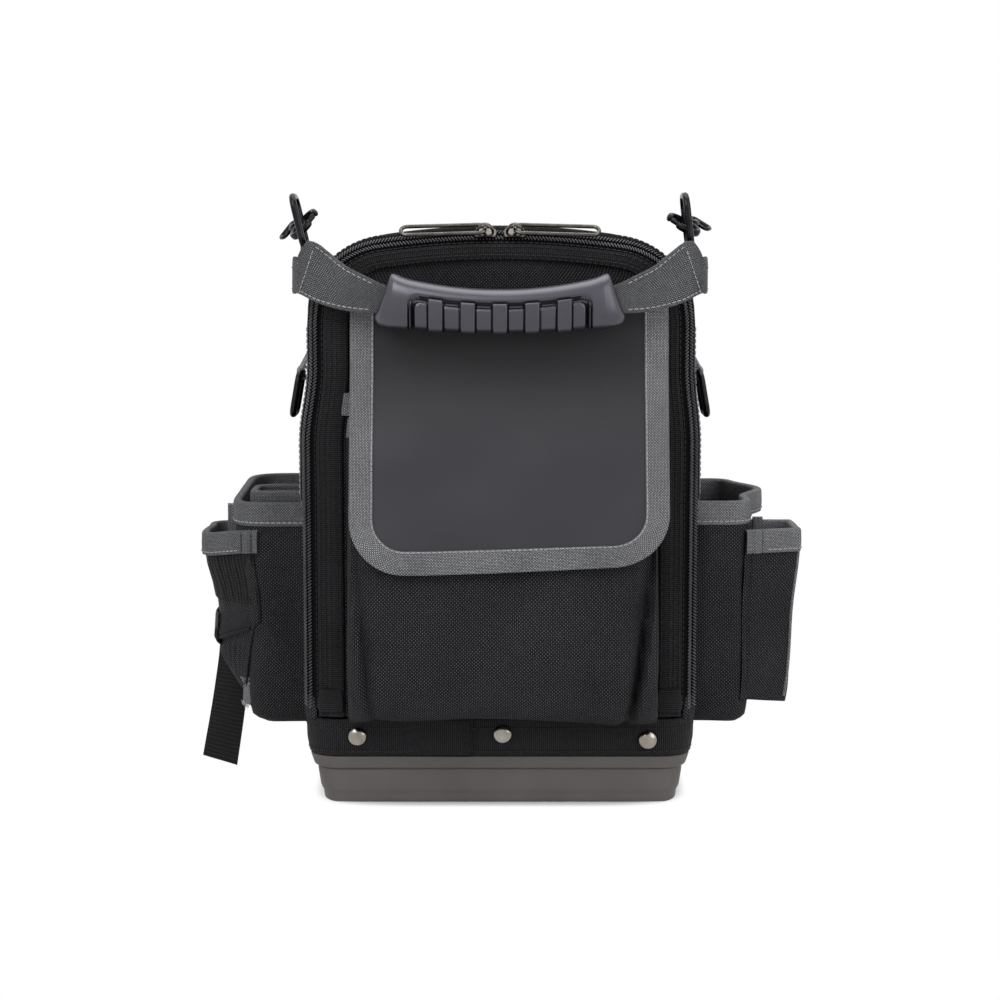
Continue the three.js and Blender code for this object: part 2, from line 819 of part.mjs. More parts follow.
// An upright oval ring whose lower bar is at the origin, in the YZ plane.
function buildRing(size, steps = 4) {
  const r = size.corner;
  const w = size.halfWidth - r;
  const h = size.height;
  const path = [
    ...arc(w, r, r, -90, 0, steps),
    ...arc(w, h - r, r, 0, 90, steps),
    ...arc(-w, h - r, r, 90, 180, steps),
    ...arc(-w, r, r, 180, 270, steps),
  ];
  return bar(path.map(([y, z]) => vec(0, y, z)), size.wire, size.sides, true);
}

// The hook lies flat in its own XY plane round the ring's rear strand, which is at the origin. Its
// nose is towards -X and its swivel towards +X.
const hook = {
  halfWide: 8.2,
  halfTall: 11.5,
  eyeHalfWide: 5.4,
  eyeHalfTall: 8,
  centre: -2.9,
  thickness: 4.4,
  barrelRadius: 2.9,
  barrelStart: 6.6,
  barrelEnd: 12,
  swivelY: 1,
  pinRadius: 1.15,
  collarRadius: 1.8,
  eyeWire: 1.2,
  heel: -7.2, // flat that the gate is pinned against, below the middle
  nose: -1.2, // end of the nose, below the middle
  height: 13.5, // above the ring's lower bar
  tilt: 36, // its face leans back on the ring's wire
  turn: 120, // round the wire, from inwards towards the back
};

function ellipse(cx, rx, ry, count) {
  return Array.from({ length: count }, (_, k) => {
    const a = (2 * Math.PI * k) / count;
    return [cx + rx * Math.cos(a), ry * Math.sin(a)];
  });
}

const slab = (points, z0, z1) => skin([z0, z1].map((z) => points.map(([x, y]) => vec(x, y, z))));

function buildHookBody() {
  const half = hook.thickness / 2;
  const c = hook.centre;
  const outer = slab(ellipse(c, hook.halfWide, hook.halfTall, 24), -half, half);
  const eye = slab(ellipse(c, hook.eyeHalfWide, hook.eyeHalfTall, 20), -half - 1, half + 1);
  const mouth = block(c - hook.halfWide - 5, c - 2.4, hook.heel, hook.nose, -half - 1, half + 1);
  const y = hook.swivelY;
  const neckStart = c + hook.eyeHalfWide + 0.6;
  const neck = block(neckStart, hook.barrelStart + 2, y - 3.2, y + 3.2, -half * 0.8, half * 0.8);
  const along = (from, to, radius, sides) => rod(vec(from, y, 0), vec(to, y, 0), radius, sides);
  const barrel = along(hook.barrelStart, hook.barrelEnd, hook.barrelRadius, 14);
  const bore = along(hook.barrelStart + 2.6, hook.barrelEnd + 1, hook.pinRadius + gap, 12);
  const chamber = along(hook.barrelStart + 1.6, hook.barrelStart + 3.8, hook.collarRadius + gap, 12);
  return outer.subtract(eye).subtract(mouth).add(neck).add(barrel).subtract(bore).subtract(chamber);
}

// The sprung gate stands on the heel and closes against the inside of the nose. Its root is round, so
// that it turns on its pin.
const gate = { x: -4.6, rootRadius: 1.2, tip: 0.6, thickness: 3.4 };
const gatePivot = () => [hook.centre + gate.x, hook.heel + gap + gate.rootRadius];

function buildGate() {
  const [x, y] = gatePivot();
  const r = gate.rootRadius;
  const noseInside = hook.centre - hook.eyeHalfWide + 0.7;
  const outline = [
    ...arc(x, y, r, 180, 360, 8),
    [noseInside + 1.8, gate.tip],
    [noseInside, gate.tip],
    [noseInside - 0.1, hook.nose - gap],
    [x - r, hook.nose - 1.2],
  ];
  return slab(outline, -gate.thickness / 2, gate.thickness / 2);
}

// The swivel: a pin with a collar in the barrel, and the wire loop that a strap is sewn through.
function buildSwivel() {
  const y = hook.swivelY;
  const collarStart = hook.barrelStart + 2;
  const loopStart = hook.barrelEnd + 0.8 + hook.eyeWire;
  const pin = rod(vec(collarStart, y, 0), vec(loopStart + 0.4, y, 0), hook.pinRadius, 12);
  const collar = rod(vec(collarStart, y, 0), vec(collarStart + 1.4, y, 0), hook.collarRadius, 12);
  const r = 2.4;
  const half = 4;
  const path = [
    ...arc(loopStart + 5, y + half, r, 0, 90, 3),
    ...arc(loopStart + r, y + half, r, 90, 180, 3),
    ...arc(loopStart + r, y - half, r, 180, 270, 3),
    ...arc(loopStart + 5, y - half, r, 270, 360, 3),
  ];
  return pin.add(collar).add(bar(path.map(([a, b]) => vec(a, b, 0)), hook.eyeWire, 8, true));
}

function addCorner(side, label) {
  const seat = ringSeat(side, label);
  add(bag, `handle_anchor_${label}`, buildAnchor(side, seat), materials.greyWebbing);
  const corner = new THREE.Group();
  corner.position.set(seat.x, pivotY, seat.z);
  corner.rotation.set(0, radians(-seat.lean), 0);
  bag.add(corner);
  add(corner, `corner_ring_${label}`, buildRing(ring), materials.blackMetal);

  const clip = new THREE.Group();
  clip.position.set(0, ring.halfWidth, hook.height);
  clip.rotation.set(radians(-hook.tilt), 0, radians(-side * hook.turn), "ZYX");
  if (side > 0) clip.scale.x = -1;
  corner.add(clip);
  add(clip, `snap_hook_${label}`, buildHookBody(), materials.blackMetal);
  add(clip, `hook_gate_${label}`, buildGate(), materials.blackMetal);
  add(clip, `hook_swivel_${label}`, buildSwivel(), materials.blackMetal);
}

// Side rings on webbing tabs

function buildSideTab() {
  const half = sideRing.tabHalf;
  const bore = sideRing.wire + ring.play;
  const reach = bore + webbing.thickness;
  const loop = rod(vec(0, -half, 0), vec(0, half, 0), reach, 14);
  const leaf = block(bore, reach, -half, half, -1, 22);
  return loop.add(leaf).subtract(rod(vec(0, -2 * half, 0), vec(0, 2 * half, 0), bore, 14));
}

function addSideRing(side, label) {
  const out = halfWidth + gap + webbing.thickness + ring.play + sideRing.wire;
  const place = new THREE.Group();
  place.position.set(side * out, sideRing.y, topZ - sideRing.belowTop);
  if (side > 0) place.scale.x = -1;
  bag.add(place);
  add(place, `side_tab_${label}`, buildSideTab(), materials.greyWebbing);
  const hanging = new THREE.Group();
  hanging.rotation.set(0, radians(180 + sideRing.tilt), 0);
  place.add(hanging);
  add(hanging, `side_ring_${label}`, buildRing(sideRing), materials.blackMetal);
}

// Zip sliders and pullers

const slider = { offset: 1.6, length: 13, width: 7.6, thickness: 2.2, bridge: 4.6, bridgeWire: 1.1 };
const puller = { length: 48, halfWidth: 3.6, wire: 1.1 };

// A slider on the chain, facing up: a saddle plate with a bridge that holds the puller.
function buildSlider() {
  const half = slider.length / 2;
  const wide = slider.width / 2;
  const ring = [[-half, -wide * 0.6], [-half + 3, -wide], [half - 1, -wide], [half, -wide + 1]];
  const outline = [...ring, ...ring.toReversed().map(([x, y]) => [x, -y])];
  const saddle = slab(outline, gap, gap + slider.thickness);
  const bridge = arc(0, slider.thickness, slider.bridge, 0, 180, 8).map(([x, z]) => vec(x, 0, z));
  return saddle.add(bar(bridge, slider.bridgeWire, 8));
}

// A long wire loop that lies along the zip, outwards, hooked through the bridge at the origin.
function buildPuller() {
  const r = puller.halfWidth;
  const path = [
    ...arc(-puller.length + r, 0, r, 90, 270, 6),
    ...arc(-1.5, -r + 1.5, 1.5, 270, 360, 3),
    ...arc(-1.5, r - 1.5, 1.5, 0, 90, 3),
  ];
  return bar(path.map(([x, y]) => vec(x, y, 0)), puller.wire, 8, true);
}

function addSlider(side, label) {
  const swing = new THREE.Group();
  swing.position.set(0, 0, topZ - body.crownRadius);
  swing.rotation.set(0, radians(side * slider.offset), 0);
  bag.add(swing);
  const seat = new THREE.Group();
  seat.position.set(0, zipY, body.crownRadius - zip.inset);
  seat.rotation.set(radians(zip.slope), 0, 0);
  if (side > 0) seat.scale.x = -1;
  swing.add(seat);
  add(seat, `zip_slider_${label}`, buildSlider(), materials.nickel);
  const pull = new THREE.Group();
  pull.position.set(0, 0, slider.thickness + slider.bridge - slider.bridgeWire - puller.wire - gap);
  seat.add(pull);
  add(pull, `zip_puller_${label}`, buildPuller(), materials.nickel);
}

// Side pockets. Levels run from the bottom up: a height above the base's lip, the front and back edges
// along the side, and how far it stands out there.

const leftWall = (a, b, z) => vec(-halfWidth - gap - b, a, z);
const rightWall = (a, b, z) => vec(halfWidth + gap + b, a, z);
const levelsOf = (rows) => rows.map(([rise, a0, a1, depth, radius]) => ({ z: lipLine + rise, a0, a1, depth, radius }));

const leftPocket = levelsOf([
  [14, -50, 52, 18, 10],
  [19, -54, 56, 27, 14],
  [34, -56, 60, 31, 16],
  [82, -58, 63, 37, 20],
  [127, -59, 65, 43, 24],
  [146, -59, 65, 43, 24],
]);

const rightPocket = levelsOf([
  [15, -52, 50, 24, 9],
  [20, -56, 54, 31, 10],
  [36, -58, 58, 33, 10],
  [82, -59, 61, 31, 10],
  [125, -59, 62, 32, 9],
  [144, -59, 62, 32, 9],
]);

// A narrow sleeve inside the left pocket, standing on the side wall near the front.
const leftSleeve = levelsOf([
  [60, -48, -14, 24, 8],
  [122, -48, -14, 30, 9],
  [142, -48, -14, 30, 9],
]);

// The outer pockets stand on the faces of the pockets behind them.
const holsterWall = (a, b, z) => leftWall(a, depthAt(leftPocket, z) + gap + b, z);
const sheathWall = (a, b, z) => rightWall(a, depthAt(rightPocket, z) + gap + b, z);

// The outer left holster: wide at its rim, drawn in at the waist by its cinch strap.
const waist = { from: 57, to: 77, a0: -22, a1: 20, depth: 14, radius: 8 };
const leftHolster = levelsOf([
  [28, -12, 12, 2, 2],
  [37, -20, 18, 8, 5],
  [waist.from, waist.a0, waist.a1, waist.depth, waist.radius],
  [waist.to, waist.a0, waist.a1, waist.depth, waist.radius],
  [90, -28, 25, 17, 10],
  [108, -31, 28, 21, 12],
  [125, -31, 28, 21, 12],
]);

// The flat outer sheath on the right.
const rightSheath = levelsOf([
  [24, -36, -12, 26, 4],
  [36, -36.5, -11.5, 26.5, 4],
  [82, -39, -9, 30, 4],
  [111, -40, -8, 31, 4],
  [128, -40, -8, 31, 4],
]);

// Cinch: a band of webbing round the holster's waist.
function buildCinch() {
  const low = lipLine + waist.from + 1;
  const high = lipLine + waist.to - 1;
  const ringAt = (n, z, sunk) =>
    bulge(waist.a0 - n, waist.a1 + n, waist.depth + n, waist.radius + n).map(([a, b]) =>
      holsterWall(a, b === 0 ? -sunk : b, z),
    );
  const outer = gap + webbing.thickness;
  const band = skin([ringAt(outer, low, 0), ringAt(outer, high, 0)]);
  return band.subtract(skin([ringAt(gap, low - 6, 5), ringAt(gap, high + 6, 5)]));
}

// The free end of the cinch webbing hangs beside it, turned a little to the front: how far it hangs
// below the cinch's upper edge, out from there, and its width.
function buildTail() {
  const top = lipLine + waist.to - 8;
  const x = holsterWall(0, waist.depth - 4, top).x;
  const y = waist.a1 + gap + webbing.thickness + 3;
  const stations = [
    [0, 0, 19],
    [21, 0.3, 19.5],
    [49, 2, 20],
    [87.5, 7.3, 21.5],
  ];
  return skin(
    stations.map(([drop, out, width]) => {
      const half = width / 2;
      const section = [[-half, 0], [half, 0], [half, webbing.thickness], [-half, webbing.thickness]];
      return section.map(([a, t]) => vec(x - out + a, y + t - a * 0.18, top - drop));
    }),
  );
}

// Assembly

function assemble() {
  add(bag, "base_tub", drilled(buildBase()), materials.moulded);
  add(bag, "base_skirt", drilled(buildSkirt()), materials.blackWebbing);
  for (const spot of rivetSpots()) {
    const mesh = add(bag, spot.name, buildRivet(), materials.nickel);
    mesh.position.set(spot.x, spot.y, lipLine + rivet.aboveLip);
    mesh.rotation.set(0, 0, radians(spot.turn));
  }

  add(bag, "body_shell", buildShell(), materials.ballistic);
  add(bag, "boot_band", drilled(buildBootBand()), materials.lining);
  add(bag, "boot_tray", buildBootTray(), materials.lining);
  add(bag, "floor_board", buildBoard(), materials.lining);
  add(bag, "back_panel", buildBackPanel(), materials.ballistic);
  add(bag, "tool_panel", buildToolPanel(), materials.lining);
  add(bag, "tool_tier_lower", buildTier(tier.lower), materials.lining);
  add(bag, "tool_tier_upper", buildTier(tier.upper), materials.lining);
  add(bag, "zip_half_body", buildZipHalf(1), materials.coil);

  add(bag, "door_panel", buildDoorPanel(), materials.ballistic);
  add(bag, "door_band", buildDoorBand(), materials.blackWebbing);
  add(bag, "zip_half_door", buildZipHalf(-1), materials.coil);
  add(bag, "front_pocket", buildFrontPocket(), materials.ballistic);
  add(bag, "flap_root", buildFlapRoot(), materials.coatedFabric);
  add(bag, "flap_panel", buildFlapPanel(), materials.coatedFabric);
  add(bag, "flap_binding", buildFlapBinding(), materials.greyWebbing);

  add(bag, "handle_strap", buildStrap(), materials.greyWebbing);
  add(bag, "handle_grip", buildGrip(), materials.rubber);
  for (const [side, label] of [[-1, "left"], [1, "right"]]) {
    addCorner(side, label);
    addSideRing(side, label);
    addSlider(side, label);
  }

  add(bag, "left_pocket", pocketShell(leftPocket, pocketWall, leftWall), materials.ballistic);
  add(bag, "left_pocket_binding", rimBinding(leftPocket.at(-1), pocketWall, leftWall), materials.greyWebbing);
  add(bag, "left_sleeve", pocketShell(leftSleeve, sleeveWall, leftWall), materials.ballistic);
  add(bag, "left_sleeve_binding", rimBinding(leftSleeve.at(-1), sleeveWall, leftWall), materials.greyWebbing);
  add(bag, "left_holster", pocketShell(leftHolster, sleeveWall, holsterWall), materials.ballistic);
  add(bag, "left_holster_binding", rimBinding(leftHolster.at(-1), sleeveWall, holsterWall), materials.greyWebbing);
  add(bag, "cinch_strap", buildCinch(), materials.blackWebbing);
  add(bag, "strap_tail", buildTail(), materials.blackWebbing);

  add(bag, "right_pocket", pocketShell(rightPocket, pocketWall, rightWall), materials.ballistic);
  add(bag, "right_pocket_binding", rimBinding(rightPocket.at(-1), pocketWall, rightWall), materials.greyWebbing);
  add(bag, "right_sheath", pocketShell(rightSheath, sleeveWall, sheathWall), materials.ballistic);
  add(bag, "right_sheath_binding", rimBinding(rightSheath.at(-1), sleeveWall, sheathWall), materials.greyWebbing);
}

assemble();

export default bag;
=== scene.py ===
from math import asin, cos, pi, radians, sin

import bpy
import numpy as np
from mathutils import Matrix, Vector


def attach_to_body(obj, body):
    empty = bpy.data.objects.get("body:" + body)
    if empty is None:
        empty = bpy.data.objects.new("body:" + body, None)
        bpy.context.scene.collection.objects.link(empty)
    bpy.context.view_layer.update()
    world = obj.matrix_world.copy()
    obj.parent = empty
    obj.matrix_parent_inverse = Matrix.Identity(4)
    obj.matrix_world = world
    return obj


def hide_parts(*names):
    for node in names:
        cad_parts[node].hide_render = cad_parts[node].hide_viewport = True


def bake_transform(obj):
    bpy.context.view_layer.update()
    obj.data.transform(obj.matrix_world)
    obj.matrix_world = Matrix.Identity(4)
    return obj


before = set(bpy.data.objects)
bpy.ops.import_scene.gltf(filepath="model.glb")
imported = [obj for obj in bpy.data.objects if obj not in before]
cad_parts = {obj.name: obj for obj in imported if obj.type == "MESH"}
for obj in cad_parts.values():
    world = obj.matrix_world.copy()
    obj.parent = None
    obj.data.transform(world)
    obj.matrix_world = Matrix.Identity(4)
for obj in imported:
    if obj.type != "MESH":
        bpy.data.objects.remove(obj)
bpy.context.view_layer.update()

mm = 0.001  # everything below is in millimetres until it goes into a mesh

# The bag's outline and planes. The sewn cloth stands fuller at the shoulders than the plain solid.
bag = dict(
    halfWidth=115.5, top=336.8, bottom=49.4, shoulder=52, crown=500, front=-70, back=80,
    doorFront=-84.2, doorInset=9.5, zipInset=5, zipFront=-77.5, zipSlope=41,
)

# Shapes


# Builds a mesh over a grid of points, rows x columns x 3. Closed joins the last column to the first and
# looped the last row to the first. The UV map is the length along each row and each column, in metres.
def surface(name, grid, closed=False, looped=False, capped=True, facing=None, sharp=50):
    grid = np.asarray(grid, float)
    rows, cols = grid.shape[:2]
    row, col = np.meshgrid(np.arange(rows - (not looped)), np.arange(cols - (not closed)), indexing="ij")
    row, col = row.ravel(), col.ravel()
    nextRow, nextCol = (row + 1) % rows, (col + 1) % cols
    quads = np.stack(
        [row * cols + col, row * cols + nextCol, nextRow * cols + nextCol, nextRow * cols + col], 1
    )
    across = np.concatenate([[0], np.cumsum(np.linalg.norm(np.diff(grid, axis=1), axis=2).mean(0))])
    along = np.concatenate([[0], np.cumsum(np.linalg.norm(np.diff(grid, axis=0), axis=2).mean(1))])
    across = np.append(across, across[-1] + np.linalg.norm(grid[:, 0] - grid[:, -1], axis=1).mean())
    along = np.append(along, along[-1] + np.linalg.norm(grid[0] - grid[-1], axis=1).mean())
    u = np.stack([across[col], across[col + 1], across[col + 1], across[col]], 1)
    v = np.stack([along[row], along[row], along[row + 1], along[row + 1]], 1)
    points = grid.reshape(-1, 3)
    a, b, c, d = (points[quads[:, k]] for k in range(4))
    normals = np.cross(c - a, d - b)
    if closed or looped:
        flip = (normals * (a + b + c + d - 4 * points.mean(0))).sum() < 0
    else:
        flip = (normals.sum(0) * np.asarray(facing or (0, -1, 0))).sum() < 0
    faces = quads[:, ::-1].tolist() if flip else quads.tolist()
    uv = np.stack([u, v], 2)
    uv = (uv[:, ::-1] if flip else uv).reshape(-1, 2)
    if closed and capped and not looped:
        ends = [list(range(cols))[::-1], [(rows - 1) * cols + k for k in range(cols)]]
        faces += [end[::-1] if flip else end for end in ends]
        uv = np.concatenate([uv, np.zeros((2 * cols, 2))])
    mesh = bpy.data.meshes.new(name)
    mesh.from_pydata((points * mm).tolist(), [], faces)
    layer = mesh.uv_layers.new(name="cloth")
    layer.data.foreach_set("uv", (uv * mm).astype(np.float32).ravel())
    mesh.polygons.foreach_set("use_smooth", np.ones(len(faces), bool))
    mesh.set_sharp_from_angle(angle=radians(sharp))
    piece = bpy.data.objects.new(name, mesh)
    bpy.context.scene.collection.objects.link(piece)
    return piece


# From 0 at low to 1 at high, level at both ends.
def smooth(low, high, value):
    part = np.clip((value - low) / (high - low), 0, 1)
    return part * part * (3 - 2 * part)


# Below the handle the front half of the bag is drawn in by a share of its width, more on the left. It grows
# with height and then mostly goes again, and it grows from the middle of the depth towards the front.
narrowing = dict(grows=(212, 257), goes=(285, 315), gone=0.75, front=(5, 45), left=0.043, right=0.031)


def drawIn(piece):
    points = np.empty(len(piece.data.vertices) * 3)
    piece.data.vertices.foreach_get("co", points)
    points = points.reshape(-1, 3)
    x, y, z = points.T / mm
    pull = smooth(*narrowing["grows"], z) * (1 - narrowing["gone"] * smooth(*narrowing["goes"], z))
    pull *= smooth(*narrowing["front"], -y)
    points[:, 0] *= 1 - np.where(x < 0, narrowing["left"], narrowing["right"]) * pull
    piece.data.vertices.foreach_set("co", points.ravel())
    piece.data.update()


# Gives a finished piece its material and its body, and hides the CAD nodes that it stands for.
def fit(piece, finish, body, replaces=()):
    piece.data.materials.append(finish)
    if body in ("body", "door"):
        drawIn(piece)
    if body:
        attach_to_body(piece, body)
    if replaces:
        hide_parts(*replaces)
    return piece


# A wall of a given thickness behind the surface, made part of the mesh.
def thicken(piece, wall, offset=-1):
    solidify = piece.modifiers.new("wall", "SOLIDIFY")
    solidify.thickness, solidify.offset, solidify.use_even_offset = wall * mm, offset, False
    solid = bpy.data.meshes.new_from_object(piece.evaluated_get(bpy.context.evaluated_depsgraph_get()))
    piece.modifiers.clear()
    piece.data = solid
    solid.set_sharp_from_angle(angle=radians(50))
    return piece


# Joins several pieces' meshes into the first.
def joined(pieces):
    with bpy.context.temp_override(active_object=pieces[0], selected_editable_objects=pieces):
        bpy.ops.object.join()
    return pieces[0]


# A smooth curve through knots: cubic spans whose slope at a knot is the harmonic mean of the spans' slopes.
def through(knots, values, at):
    knots, values, at = (np.asarray(x, float) for x in (knots, values, at))
    width = np.diff(knots)
    rise = np.diff(values) / width
    turn = rise[:-1] * rise[1:] > 0
    middle = np.where(turn, 2 * rise[:-1] * rise[1:] / np.where(turn, rise[:-1] + rise[1:], 1), 0)
    slope = np.concatenate([[rise[0]], middle, [rise[-1]]])
    span = np.clip(np.searchsorted(knots, at) - 1, 0, len(width) - 1)
    t = np.clip((at - knots[span]) / width[span], 0, 1)
    low, high = values[span], values[span + 1]
    return (
        low * (1 + 2 * t) * (1 - t) ** 2
        + high * t * t * (3 - 2 * t)
        + width[span] * t * (1 - t) * (slope[span] * (1 - t) - slope[span + 1] * t)
    )


# Points at equal steps along a line.
def evenly(line, step):
    line = np.asarray(line, float)
    run = np.concatenate([[0], np.cumsum(np.linalg.norm(np.diff(line, axis=0), axis=1))])
    at = np.linspace(0, run[-1], max(int(round(run[-1] / step)), 1) + 1)
    return np.stack([np.interp(at, run, line[:, k]) for k in range(line.shape[1])], 1)


def unit(vectors):
    return vectors / np.maximum(np.linalg.norm(vectors, axis=-1, keepdims=True), 1e-9)


# A closed section with its corners softened: each is a short curve pulled towards the corner's point.
def softLoop(corners, radius, steps=4):
    p = np.asarray(corners, float)
    before, after = np.roll(p, 1, 0) - p, np.roll(p, -1, 0) - p
    cutBefore, cutAfter = (
        np.minimum(radius, 0.48 * np.linalg.norm(x, axis=1, keepdims=True)) for x in (before, after)
    )
    start, end = p + unit(before) * cutBefore, p + unit(after) * cutAfter
    t = np.linspace(0, 1, steps)[None, :, None]
    curve = (1 - t) ** 2 * start[:, None] + 2 * t * (1 - t) * p[:, None] + t * t * end[:, None]
    return curve.reshape(-1, 2)


# Carries a section of (out, up) points along a path: point + out x outs + up x ups.
def carry(points, outs, ups, section):
    section = np.asarray(section, float)
    section = section[None] if section.ndim == 2 else section
    return points[:, None] + outs[:, None] * section[..., :1] + ups[:, None] * section[..., 1:]


# The way that is square both to a line and to its upward way.
def sideways(line, up=(0.0, 0.0, 1.0), outward=1):
    return unit(np.cross(unit(np.gradient(line, axis=0)), up)) * outward


# Carries a section along a line: first its points' places sideways, then those upwards.
def alongLine(line, section, up=(0.0, 0.0, 1.0), outward=1):
    return carry(line, sideways(line, up, outward), np.broadcast_to(np.asarray(up), line.shape), section)


# A closed section of (x, y) points at each height, shrunk by each size about its middle or another place.
def pillar(section, heights, sizes, about=None):
    middle = section.mean(0) if about is None else about
    rings = middle + (section - middle) * np.asarray(sizes)[:, None, None]
    heights = np.broadcast_to(np.asarray(heights)[:, None, None], rings.shape[:2] + (1,))
    return np.concatenate([rings, heights], 2)


# A round tube along a path; side is square to the path's plane.
def tubeGrid(points, radius, sides, side, looped=False):
    points = np.asarray(points, float)
    ahead = np.roll(points, -1, 0) - np.roll(points, 1, 0)
    if not looped:
        ahead[0], ahead[-1] = points[1] - points[0], points[-1] - points[-2]
    ahead = unit(ahead)
    ups = unit(np.cross(ahead, np.asarray(side, float)))
    outs = np.cross(ups, ahead)
    turn = np.arange(sides) * 2 * pi / sides
    radius = np.broadcast_to(np.asarray(radius, float), len(points))[:, None, None]
    return carry(points, outs, ups, np.stack([np.cos(turn), np.sin(turn)], 1) * radius)


# A profile of (radius, height) points turned about an axis that starts at origin.
def turnedGrid(profile, origin, axis, sides=32):
    axis = unit(np.asarray(axis, float))
    first = unit(np.cross(axis, (0.3, 0.5, 0.8)))
    second = np.cross(axis, first)
    turn = np.arange(sides) * 2 * pi / sides
    profile = np.asarray(profile, float)
    ring = first * np.cos(turn)[:, None] + second * np.sin(turn)[:, None]
    return np.asarray(origin, float) + profile[:, :1, None] * ring + profile[:, 1:, None] * axis


# Unevenness from -1 to 1 that varies over about size mm: a sum of sine waves in seeded directions.
def unevenness(points, size, seed):
    rng = np.random.default_rng(seed)
    waves = unit(rng.normal(size=(7, 3))) * (2 * pi / size) * rng.uniform(0.6, 1.4, (7, 1))
    return np.sin(points @ waves.T + rng.uniform(0, 2 * pi, 7)).sum(-1) / 3.4


# The ways that a grid's faces look, turned so that on the whole they look the given way.
def gridNormals(grid, way):
    along, across = np.gradient(grid, axis=0), np.gradient(grid, axis=1)
    normals = unit(np.cross(across, along))
    return normals * np.sign((normals * way).sum())


# One shape repeated: a template's points turned into the frame of each place and moved there.
def repeated(name, points, faces, places, firsts, seconds, thirds):
    frames = np.stack([firsts, seconds, thirds], 1)
    every = places[:, None] + np.einsum("kc,ncd->nkd", points, frames)
    count = len(points)
    mesh = bpy.data.meshes.new(name)
    index = (np.arange(len(places)) * count)[:, None, None] + np.asarray(faces)[None]
    mesh.from_pydata((every.reshape(-1, 3) * mm).tolist(), [], index.reshape(-1, len(faces[0])).tolist())
    mesh.polygons.foreach_set("use_smooth", np.ones(len(mesh.polygons), bool))
    piece = bpy.data.objects.new(name, mesh)
    bpy.context.scene.collection.objects.link(piece)
    return piece


# A small round-ended bar along X, for a stitch or a zip tooth.
def barShape(length, radii, sides=6):
    steps = np.array([-0.5, -0.42, 0, 0.42, 0.5]) * length
    size = np.array([0.35, 0.85, 1, 0.85, 0.35])
    turn = np.arange(sides) * 2 * pi / sides
    rings = [
        np.stack([np.full(sides, x), radii[0] * s * np.cos(turn), radii[1] * s * np.sin(turn)], 1) for x,
        s in zip(steps, size)
    ]
    points = np.concatenate(rings + [[[steps[0], 0, 0], [steps[-1], 0, 0]]])
    quads = [
        [i * sides + k, i * sides + (k + 1) % sides, (i + 1) * sides + (k + 1) % sides, (i + 1) * sides + k]
        for i in range(4)
        for k in range(sides)
    ]
    first, last = len(points) - 2, len(points) - 1
    quads += [[first, (k + 2) % sides, (k + 1) % sides, k] for k in range(0, sides, 2)]
    quads += [
        [last, 4 * sides + k, 4 * sides + (k + 1) % sides, 4 * sides + (k + 2) % sides]
        for k in range(0, sides, 2)
    ]
    return points, quads


seams = {}


# Notes a row of stitches along a line on a surface; up is the way that the surface faces there.
def sew(thread, line, up, pitch=3.4, lift=0.12):
    line, up = np.asarray(line, float), np.asarray(up, float)
    up = np.broadcast_to(up, line.shape)
    both = evenly(np.concatenate([line, up], 1), pitch / 2)
    middle = both[1:-1:2]
    ahead = unit(both[2::2, :3][: len(middle)] - both[0:-2:2, :3][: len(middle)])
    ups = unit(middle[:, 3:])
    sides = unit(np.cross(ups, ahead))
    seams.setdefault(thread, []).append((middle[:, :3] + ups * lift, ahead, sides, np.cross(ahead, sides)))


# Puts a body's stitches into one mesh: bars of thread, a little sunk at their ends.
def stitchUp(thread, finish, body, length=2.5, radii=(0.36, 0.26)):
    places, firsts, seconds, thirds = (np.concatenate(part) for part in zip(*seams[thread]))
    piece = repeated(thread, *barShape(length, radii, 6), places, firsts, seconds, thirds)
    return fit(piece, finish, body)


# Finishes


def toLinear(hexColour, alpha=1):
    values = np.array([int(hexColour[k : k + 2], 16) for k in (1, 3, 5)]) / 255
    linear = np.where(values <= 0.04045, values / 12.92, ((values + 0.055) / 1.055) ** 2.4)
    return (*linear.tolist(), alpha)


def addNode(tree, kind, links=None, **settings):
    node = tree.nodes.new("ShaderNode" + kind)
    for name, value in settings.items():
        setattr(node, name, value)
    for socket, source in (links or {}).items():
        if isinstance(source, bpy.types.NodeSocket):
            tree.links.new(source, node.inputs[socket])
        else:
            node.inputs[socket].default_value = source
    return node


# A new material with its shader, the shader's fixed values and its tree.
def newFinish(name, **values):
    finish = bpy.data.materials.new(name)
    finish.use_nodes = True
    tree = finish.node_tree
    tree.nodes.clear()
    shader = addNode(tree, "BsdfPrincipled", {key.replace("_", " "): value for key, value in values.items()})
    addNode(tree, "OutputMaterial", {0: shader.outputs[0]})
    return finish, tree, shader


# The cloth's own coordinates in cells of the given widths in millimetres, drifting a little as real yarn does
def clothCells(tree, pitchAcross, pitchAlong):
    place = addNode(tree, "UVMap", uv_map="cloth")
    noise = addNode(tree, "TexNoise", {"Vector": place.outputs[0], "Scale": 170.0, "Detail": 1.0})
    centred = addNode(
        tree, "VectorMath", {0: noise.outputs["Color"], 1: (0.5, 0.5, 0.5)}, operation="SUBTRACT"
    )
    drift = addNode(
        tree, "VectorMath", {0: centred.outputs[0], 1: (0.0008, 0.0008, 0), 2: place.outputs[0]},
        operation="MULTIPLY_ADD"
    )
    return addNode(
        tree, "VectorMath", {0: drift.outputs[0], 1: (1000 / pitchAcross, 1000 / pitchAlong, 1)},
        operation="MULTIPLY"
    )


